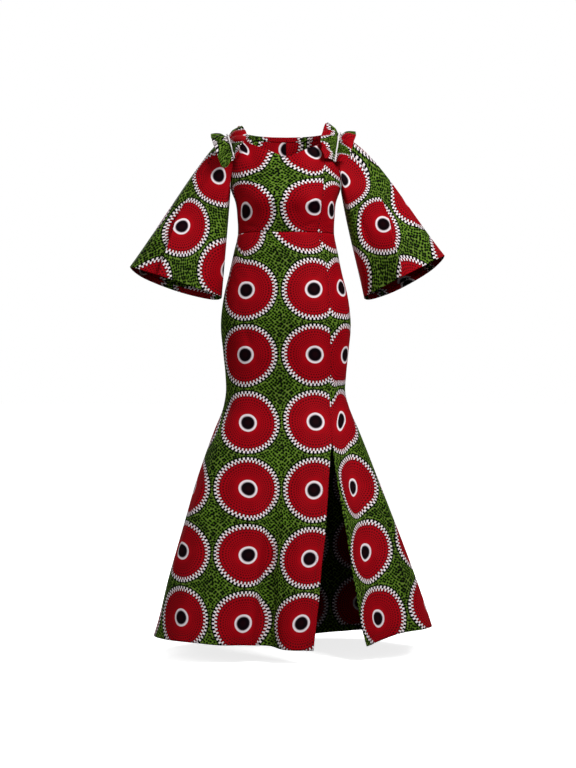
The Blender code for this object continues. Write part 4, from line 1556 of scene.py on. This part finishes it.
@dataclass
class Sleeves:
    """Two bell sleeves set into the armholes."""

    rings: int = 96
    columns: int = 210
    armhole_points: int = 180
    armhole_step: float = 0.04
    wave_growth: float = 1.2
    # pulls on each column: out of the armhole, how much of it under the arm, and at the hem
    head_pull: float = 2.2
    head_least: float = 0.35
    head_aside: float = 0.02
    under_pull: float = 0.7
    hem_pull: float = 1.02
    pleat_run: float = 26.0
    pleat_edge: float = 3.0
    pleat_until: float = 190.0
    pleat_fade: float = 140.0
    pleat_crowding: float = 0.65
    pleat_crowd_width: float = 16.0
    drag_reach: float = 75.0
    shapes: tuple = (
        SleeveShape(
            Side.RIGHT, (-167, -6, -416), (-405, -2, -338), 98.0, -20.0, 64.0,
            ((84, 20, -9), (52, 16, 5), (150, 14, 7), (235, 22, 14), (290, 20, -10)),
            PLEAT_RIGHT, (34.6, 250.7), (-175.8, 48.2), (44.0, 166.9), DRAG_RIGHT,
        ),
        SleeveShape(
            Side.LEFT, (203, -6, -416), (412, -2, -309), 104.0, -24.0, 122.0,
            ((60, 18, -7), (136, 14, 7), (240, 22, 13), (300, 20, -9)),
            PLEAT_LEFT, (-4.2, 250.3), (-150.9, 59.9), (39.8, 174.2), DRAG_LEFT,
        ),
    )

    def loop(self, side: Side) -> tuple[Array, Array]:
        """Closed loop of the armhole.

        Args:
            side: The wearer's side.

        Returns:
            Points, and the direction in which the bodice would carry on at each.
        """
        v = 1 - (1 - np.linspace(0, 1, self.armhole_points + 1)) ** Bodice.row_power
        loops, outward = [], []
        for back, part in ((False, slice(None)), (True, slice(-2, 0, -1))):
            share = 1 - FORM.scoop(v, back)
            edge = FORM.upper(side.value * share, v, back)
            loops.append(edge[part])
            inner = FORM.upper(side.value * (share - self.armhole_step), v, back)
            outward.append((edge - inner)[part])
        out = np.concatenate(outward)
        out[0] = (0, 0, 1)
        return np.concatenate(loops), unit(out)

    def smooth_rings(self, shape: SleeveShape) -> Array:
        """Rings of the sleeve without its pleat.

        Formula: each column is a cubic from the armhole to an oval hem, leaving the armhole in
        the bodice's own direction; waves swell outwards towards the hem.

        Args:
            shape: The sleeve's sizes.

        Returns:
            Points, one row for each ring, from the inner side over the front.
        """
        loop, outward = self.loop(shape.side)
        around = np.arange(len(loop)) / len(loop) * 360
        inner, outer = np.array(shape.hem_inner, float), np.array(shape.hem_outer, float)
        cos, sin = (f(np.radians(around))[:, None] for f in (np.cos, np.sin))
        hem = (inner + outer) / 2 + cos * ((inner - outer) / 2)
        hem = hem + sin * np.array([0, -shape.hem_depth, 0])
        hem = hem + np.clip(-sin, 0, None) * np.array([0, 0, shape.back_drop])
        top, fall = (1 - cos) / 2, hem - loop
        drop = np.array([shape.side.value * self.head_aside, 0, -1.0])
        head = blend(drop, outward, top) * shape.reach * self.head_pull
        leave = head * (self.head_least + (1 - self.head_least) * top)
        leave = leave + fall * (1 - top) * self.under_pull
        t = np.linspace(0, 1, self.rings + 1)[:, None, None]
        rings = cubic(loop, leave, hem, fall * self.hem_pull, t)
        swell = np.zeros(len(loop))
        for place, width, stand in shape.waves:
            swell = swell + stand * bell(half_turn(around - place) / width)
        return rings + self.radial(shape, around) * swell[:, None] * t**self.wave_growth

    @staticmethod
    def radial(shape: SleeveShape, around: Array) -> Array:
        """Direction straight out of the sleeve.

        Formula: the hem's own axis and the front, mixed by the cosine and sine of the turn.

        Args:
            shape: The sleeve's sizes.
            around: Turns in degrees.

        Returns:
            Directions.
        """
        half = np.array(shape.hem_inner, float) - np.array(shape.hem_outer, float)
        turn = np.radians(around)[..., None]
        return np.cos(turn) * half / np.linalg.norm(half) - np.sin(turn) * np.array([0, 1.0, 0])

    def flat(self, grid: Array) -> Array:
        """Place of each point in the flat sleeve, outwards and down in mm.

        Formula: the sleeve is laid flat as a cone about its front, so a point lies on an arc about
        the cone's tip, as far up from the hem as it is on the sleeve.

        Args:
            grid: The sleeve's rings.

        Returns:
            Places.
        """
        wide = ring_closed(grid)
        across, down = arc_length(wide, 1), arc_length(wide, 0)
        front, first = wide.shape[1] // 4, self.rings // 10
        depth = down[:, front]
        flare = (across[-1, -1] - across[first, -1]) / (depth[-1] - depth[first])
        tip = across[first, -1] / flare - depth[first]
        from_tip = tip + depth[-1] + down - down[-1:]
        angle = (across - across[:, [front]]) / from_tip
        return np.stack([from_tip * np.sin(angle), from_tip * np.cos(angle) - tip], axis=-1)

    def pleated(self, shape: SleeveShape) -> tuple[Array, Array]:
        """Rings with the pleat, and their places in the flat sleeve.

        Formula: the columns turn with the pleat and lie closer at it. Up to its edge the cloth
        stands away from the rings, then it falls back to them at once and goes on outwards with
        its hidden part taken in.

        Args:
            shape: The sleeve's sizes.

        Returns:
            Points, and places with one more column than the points.
        """
        rings = self.smooth_rings(shape)
        count = rings.shape[1]
        both = np.concatenate([ring_closed(rings), self.flat(rings)], axis=-1)
        line = table_spline(np.linspace(0, 1, len(rings)), shape.pleat)[:, None]
        middle, stand, hidden = np.moveaxis(line, -1, 0)
        start = -np.round(middle[0, 0])
        past = np.linspace(start, start + 360, self.columns + 1)
        past = past - self.pleat_crowding * past * bell(past / self.pleat_crowd_width)
        past = past + np.zeros(middle.shape)
        index = (middle - middle[0, 0] + past - start) / 360 * count
        turns = np.floor(index / count)
        index = index - turns * count
        low = np.minimum(index.astype(int), count - 1)
        row = np.arange(len(rings))[:, None]
        laid = blend(both[row, low], both[row, low + 1], (index - low)[..., None])
        points, flat = laid[..., :3], laid[..., 3:]
        flat = flat + turns[..., None] * (both[:, -1:, 3:] - both[:, :1, 3:])
        size = np.linalg.norm(np.diff(rings, axis=1), axis=-1).sum(axis=1)[:, None]
        past = past / 360 * size
        over = np.exp(-np.clip(-past, 0, None) / self.pleat_run)
        over = over * smooth_step(1 - past / self.pleat_edge)
        points = points + self.radial(shape, index / count * 360) * (stand * over)[..., None]
        taken = (hidden + stand) * smooth_step((self.pleat_until - past) / self.pleat_fade)
        flat[..., 0] += taken * smooth_step(past / self.pleat_edge)
        return points[:, :-1], flat

    def printed(self, shape: SleeveShape, flat: Array) -> Array:
        """Place of each point in the printed cloth, in mm.

        Formula: the flat sleeve is slanted onto the print by the two repeats, then each drag
        moves it, less with distance as a bell curve.

        Args:
            shape: The sleeve's sizes.
            flat: Places in the flat sleeve.

        Returns:
            Places in the print.
        """
        repeats = np.linalg.inv(np.array([shape.across_repeat, shape.down_repeat]))
        place = (flat - np.array(shape.disc)) @ repeats * WaxPrint.pitch
        drag = np.array(shape.drag, float)
        away = np.linalg.norm(flat[..., None, :] - drag[:, :2], axis=-1)
        return place + bell(away / self.drag_reach) @ drag[:, 2:]

    def build(self, cloth: Material, thread: Material) -> list:
        """Builds and dresses both sleeves.

        Args:
            cloth: The cloth's finish.
            thread: The sewing thread's finish.

        Returns:
            The pieces.
        """
        made, free = [], Border(False)
        for shape in self.shapes:
            grid, flat = self.pleated(shape)
            print_at = self.printed(shape, flat)
            if shape.side is Side.RIGHT:
                grid = np.concatenate([grid[:, :1], grid[:, :0:-1]], axis=1)
                print_at = print_at[:, ::-1]
            label = shape.side.label
            made += Panel(
                f"sleeve_{label}", grid, print_at, "hung", f"bodice_back_{label}", closed=True,
                core=grid.mean(axis=1, keepdims=True), start=free, end=free,
                bottom=Border(False, 14.0, 12.0),
            ).build(cloth, thread)
        return made


# ---------------------------------------------------------------- bows


@dataclass(frozen=True)
class BowShape:
    """One bow: where its cord lies on the bodice, and its two free edges.

    path is row and share of the half panel, from the cord's end up to the shoulder seam. inner and
    outer are in mm: place along the cord, across, depth, height. Each pleat is its place along
    the cord, how far that moves by the inner and by the outer free edge, its half width, and the
    cloth that it hides in mm. disc is where a printed disc lies from the top of the cord, in mm
    inwards and forwards, and slant how far the cloth is turned on the cord. outer_run is how far
    the print goes for each mm of the outer wing, and under 1 it is drawn stretched.
    """

    side: Side
    path: tuple
    inner: tuple
    outer: tuple
    pleats: tuple
    disc: tuple
    slant: float
    outer_run: float


@dataclass
class Bows:
    """Two shoulder bows, each a strip gathered under a white cord. Sizes are in mm."""

    rows: int = 110
    half_columns: int = 26
    cord_radius: float = 1.9
    cord_sides: int = 16
    flat: float = 4.6
    end_lift: float = 1.6
    end_from: float = 0.5
    end_run: float = 0.4
    cord_ends: tuple = (0.45, 0.85)  # sizes of the last two rings at each end
    arch: float = 0.09
    puff: float = 5.0
    puff_run: float = 0.35
    puff_fall: float = 0.35
    pleat_dip: float = 1.2
    pleat_spread: float = 0.6
    fullness: float = 1.25
    wall: float = 1.8
    bow_wall: float = 1.4
    gap: float = 1.2
    cord_gap: float = 0.8
    shapes: tuple = (
        BowShape(
            Side.RIGHT,
            ((0.385, 0.725), (0.53, 0.78), (0.685, 0.84), (1.0, 0.90)),
            (
                (-1.0, 126, -62, -62), (-0.7, 112, -66, -24), (-0.4, 101, -52, -9),
                (-0.1, 104, -24, 12), (0.2, 117, -2, 28), (0.5, 128, 34, 26),
                (0.8, 122, 66, 4), (1.0, 116, 88, -30),
            ),
            (
                (-1.0, 150, -72, -86), (-0.8, 164, -70, -87), (-0.55, 175, -60, -58),
                (-0.3, 187, -38, -26), (-0.05, 195, -12, 0), (0.25, 192, 16, 4),
                (0.55, 184, 48, -14), (0.8, 174, 68, -40), (1.0, 158, 82, -60),
            ),
            (
                (-0.86, -0.02, -0.05, 0.05, 20), (-0.60, -0.06, 0.02, 0.07, 30),
                (-0.33, 0.05, 0.06, 0.06, 34), (-0.07, 0.02, -0.03, 0.05, 26),
                (0.20, 0.04, 0.02, 0.07, 30), (0.50, -0.03, 0.05, 0.06, 24),
                (0.78, 0.02, 0.02, 0.05, 28),
            ),
            (68.0, 50.0), 0.0, 0.6,
        ),
        BowShape(
            Side.LEFT,
            ((0.355, 0.68), (0.575, 0.755), (0.76, 0.795), (1.0, 0.835)),
            (
                (-1.0, 97, -88, -66), (-0.7, 90, -80, -36), (-0.45, 89, -64, -12),
                (-0.2, 94, -32, 8), (0.05, 102, 0, 34), (0.35, 121, 32, 32),
                (0.7, 116, 66, 8), (1.0, 106, 92, -28),
            ),
            (
                (-1.0, 150, -72, -76), (-0.7, 166, -66, -52), (-0.4, 172, -46, -26),
                (-0.15, 181, -18, -2), (0.1, 181, 8, 12), (0.4, 176, 36, 2),
                (0.75, 166, 62, -24), (1.0, 150, 78, -50),
            ),
            (
                (-0.80, 0.03, 0.04, 0.05, 24), (-0.56, 0.05, 0.05, 0.06, 28),
                (-0.34, 0.02, -0.04, 0.07, 32), (-0.10, -0.02, 0.05, 0.05, 26),
                (0.24, 0.03, 0.03, 0.07, 30), (0.55, -0.02, 0.04, 0.06, 24),
                (0.82, 0.02, 0.02, 0.05, 24),
            ),
            (95.0, 42.0), 0.5, 1.0,
        ),
    )

    def line(self, shape: BowShape, place: Array, lift: float) -> Array:
        """Line over the shoulder, lifted off the bodice.

        Formula: the bodice's normal, from two small steps on it, times the lift.

        Args:
            shape: The bow's sizes.
            place: -1 at the front end, 1 at the back end.
            lift: Distance off the bodice in mm.

        Returns:
            Points in mm.
        """
        row, share = curve_by_length(1 - np.abs(place), shape.path).T
        ends = smooth_step((np.abs(place) - self.end_from) / self.end_run)[:, None]
        side, out = shape.side.value, []
        for du, dv in ((0, 0), (0.01, 0), (0, -0.01)):
            front, back = (FORM.upper(side * (share + du), row + dv, b) for b in (False, True))
            out.append(np.where((place < 0)[:, None], front, back))
        normal = unit(np.cross(out[1] - out[0], out[2] - out[0]))
        flip = np.where(normal[:, 0] * side + normal[:, 2] < 0, -1, 1)
        return out[0] + normal * flip[:, None] * (lift + self.end_lift * ends)

    def frame(self, shape: BowShape, place: Array, lift: float) -> tuple:
        """The line with its directions.

        Formula: crossing the way along with the lift gives the side, and crossing again gives up.

        Args:
            shape: The bow's sizes.
            place: -1 at the front end, 1 at the back end.
            lift: Distance off the bodice in mm.

        Returns:
            Points, and the directions along the line, to its outer side and up.
        """
        middle = self.line(shape, place, lift)
        raised = self.line(shape, place, lift + 1) - middle
        along = unit(np.gradient(middle, axis=0))
        aside = unit(np.cross(along, raised))
        aside *= np.where(aside[:, :1] * shape.side.value < 0, -1, 1)
        up = np.cross(aside, along)
        up *= np.where((up * raised).sum(1) < 0, -1, 1)[:, None]
        return middle, along, aside, up

    def strip(self, shape: BowShape) -> tuple[Array, Array]:
        """Rows along the cord, columns from the inner free edge to the outer one.

        Formula: from under the cord each wing reaches straight to its free edge, arched up by a
        parabola. It puffs up between its pleats, which fan out from the cord as bell-shaped
        valleys. The print jumps on at each pleat by the cloth that it hides.

        Args:
            shape: The bow's sizes.

        Returns:
            Points, and places in the print, in mm.
        """
        place = np.linspace(-1, 1, self.rows + 1)
        lift = self.wall / 2 + self.bow_wall / 2 + self.gap
        base, along, aside, up = self.frame(shape, place, lift)
        run = arc_length(base[:, None], 0)[:, 0]
        forward = np.interp(0, place, run) - run
        t = np.linspace(0, 1, self.half_columns)[None, :]
        halves, prints = [], []
        for rows, way, fan in ((shape.inner, -1, 1), (shape.outer, 1, 2)):
            edge = table_spline(place, rows) * np.array([shape.side.value, 1, 1])
            root = base + aside * way * self.flat
            reach = edge - root
            normal = unit(np.cross(along, reach))
            normal *= np.where((normal * up).sum(1) < 0, -1, 1)[:, None]
            valley = hidden = np.zeros((len(place), t.size))
            spread = self.pleat_spread + self.pleat_spread * t
            for pleat in shape.pleats:
                away = (place[:, None] - pleat[0] - pleat[fan] * t) / (pleat[3] * spread)
                valley = valley + bell(away)
                hidden = hidden + pleat[4] * (smooth_step((1 - away) / 2) - (pleat[0] < 0))
            lift = self.puff * smooth_step(t / self.puff_run) * (1 - self.puff_fall * t)
            lift = lift * (1 - self.pleat_dip * valley)
            arch = up * np.linalg.norm(reach, axis=1)[:, None] * self.arch
            sheet = root[:, None] + reach[:, None] * t[..., None]
            sheet = sheet + arch[:, None] * (4 * t * (1 - t))[..., None]
            sheet = sheet + normal[:, None] * lift[..., None]
            inwards = -way * (self.flat + arc_length(sheet, 1))
            inwards = inwards * (shape.outer_run if way > 0 else 1.0)
            halves.append(sheet)
            prints.append(np.stack([inwards, self.fullness * forward[:, None] + hidden], axis=-1))
        middle = np.stack([0 * forward, (prints[0][:, 0, 1] + prints[1][:, 0, 1]) / 2], axis=-1)
        grid = np.concatenate([halves[0][:, ::-1], base[:, None], halves[1]], axis=1)
        at = np.concatenate([prints[0][:, ::-1], middle[:, None], prints[1]], axis=1)
        at[..., 1] += shape.slant * at[..., 0]
        return grid, at - np.array(shape.disc)

    def cord(self, shape: BowShape) -> Array:
        """Rings of the round cord: circles carried along its line.

        Args:
            shape: The bow's sizes.

        Returns:
            Points in mm.
        """
        place = np.linspace(-1, 1, self.rows + 1)
        lift = self.wall / 2 + self.bow_wall + self.gap + self.cord_gap + self.cord_radius
        middle, _, aside, up = self.frame(shape, place, lift)
        turns = -shape.side.value * np.arange(self.cord_sides) / self.cord_sides * 2 * np.pi
        ring = np.cos(turns)[:, None] * aside[:, None] + np.sin(turns)[:, None] * up[:, None]
        radius = np.full(len(place), self.cord_radius)
        radius[[0, -1]] *= self.cord_ends[0]
        radius[[1, -2]] *= self.cord_ends[1]
        return middle[:, None] + ring * radius[:, None, None]

    def build(self, cloth: Material, thread: Material, cotton: Material) -> list:
        """Builds and dresses both bows and their cords.

        Args:
            cloth: The cloth's finish.
            thread: The sewing thread's finish.
            cotton: The cord's finish.

        Returns:
            The pieces.
        """
        made, free = [], Border(False)
        for shape in self.shapes:
            label = shape.side.label
            grid, print_at = self.strip(shape)
            made += Panel(
                f"bow_{label}", grid, print_at, "gathered", f"bodice_back_{label}",
                top=free, bottom=free, start=free, end=free,
                core=grid + np.array([-60.0 * shape.side.value, 0, -100.0]),
            ).build(cloth, thread)
            rings = self.cord(shape)
            wide = ring_closed(rings)
            print_at = np.stack([arc_length(wide, 0), arc_length(wide, 1)], axis=-1)
            cord = grid_object(f"bow_{label}_cord", rings * MM, print_at * MM, True, capped=True)
            cord.data.materials.append(cotton)
            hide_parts(f"bow_cord_{label}")
            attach(cord, "root")
            made.append(cord)
        return made


# ---------------------------------------------------------------- studio


@dataclass(frozen=True)
class Studio:
    """Camera, pale floor and soft lights, in metres; the lens and the sensor are in mm."""

    camera_place: tuple = (0.0052, -5.0, -0.6422)
    lens: float = 90.15
    sensor: float = 36.0
    floor_colour: str = "#F8F8F8"
    white: str = "#FFFFFF"
    floor_half: float = 60.0
    floor_drop: float = 0.004
    floor_glow: float = 0.80
    # name, place, watts and width of each lamp; all aim at the chest
    lamps: tuple = (
        ("key", (1.5, -2.0, 1.05), 78.0, 1.1),
        ("fill", (-2.3, -1.7, 0.3), 22.0, 1.6),
        ("back", (-0.8, 2.4, 1.3), 60.0, 1.6),
    )
    aim: tuple = (0.0, 0.0, -0.35)
    # height of the direction looked in at which the sky is dark and light, and its two levels
    sky: tuple = (-0.25, 0.75, 0.02, 0.34)

    def build(self) -> None:
        """Builds the camera, the floor and the lights."""
        data = bpy.data.cameras.new("camera")
        data.lens, data.sensor_width = self.lens, self.sensor
        data.clip_start, data.clip_end = 0.1, 100.0
        camera = placed("camera", data)
        camera.location = self.camera_place
        camera.rotation_euler = (math.radians(90), 0, 0)
        bpy.context.scene.camera = camera
        bpy.context.scene.view_settings.view_transform = "Standard"
        self._floor()
        self._world()
        self._lamps()

    def _floor(self) -> None:
        """Pale floor, a square grid under the hem. It gives the object no light."""
        side = np.linspace(-self.floor_half, self.floor_half, 3)
        x, y = np.meshgrid(side, side)
        low = np.full_like(x, cad_box[0][2] - self.floor_drop)
        points = np.stack([x, y[::-1], low], axis=-1)
        floor = grid_object("floor", points, np.stack([x, y], axis=-1), False)
        g = NodeGraph(bpy.data.materials.new("pale_studio_floor"))
        floor.data.materials.append(
            g.finish(
                Base_Color=linear(self.floor_colour), Emission_Color=linear(self.white),
                Emission_Strength=self.floor_glow, Roughness=0.9, Specular_IOR_Level=0.0,
            )
        )
        floor.visible_diffuse = floor.visible_glossy = False

    def _world(self) -> None:
        """White surround for the eye; the light that it gives comes from above."""
        g = NodeGraph(bpy.data.worlds.new("studio"), "Background")
        up = g.add("SeparateXYZ", g.add("TexCoord")).outputs[2]
        level = g.add("Mix", g.add("LightPath"), g.add("MapRange", up, *self.sky), 1.0)
        bpy.context.scene.world = g.finish(Strength=level, Color=linear(self.white))

    def _lamps(self) -> None:
        """Soft square lamps, each a flat panel that faces the dress."""
        for name, place, watts, width in self.lamps:
            data = bpy.data.lights.new(name, "AREA")
            data.energy, data.size = watts, width
            lamp = placed(name, data)
            lamp.location = place
            way = Vector(self.aim) - Vector(place)
            lamp.rotation_euler = way.to_track_quat("-Z", "Y").to_euler()


def main() -> None:
    """Builds every sub-assembly in order and reports its pieces."""
    logging.basicConfig(level=logging.INFO, format="%(name)s: %(message)s")
    Studio().build()
    cloth, cotton, thread = WaxPrint().build(), CottonCord().build(), SewingThread().build()
    pieces = Bodice().build(cloth, thread)
    pieces += Skirt().build(cloth, thread)
    pieces += Sleeves().build(cloth, thread)
    pieces += Bows().build(cloth, thread, cotton)
    log.info("%d pieces", len(pieces))


if __name__ == "__main__":
    main()
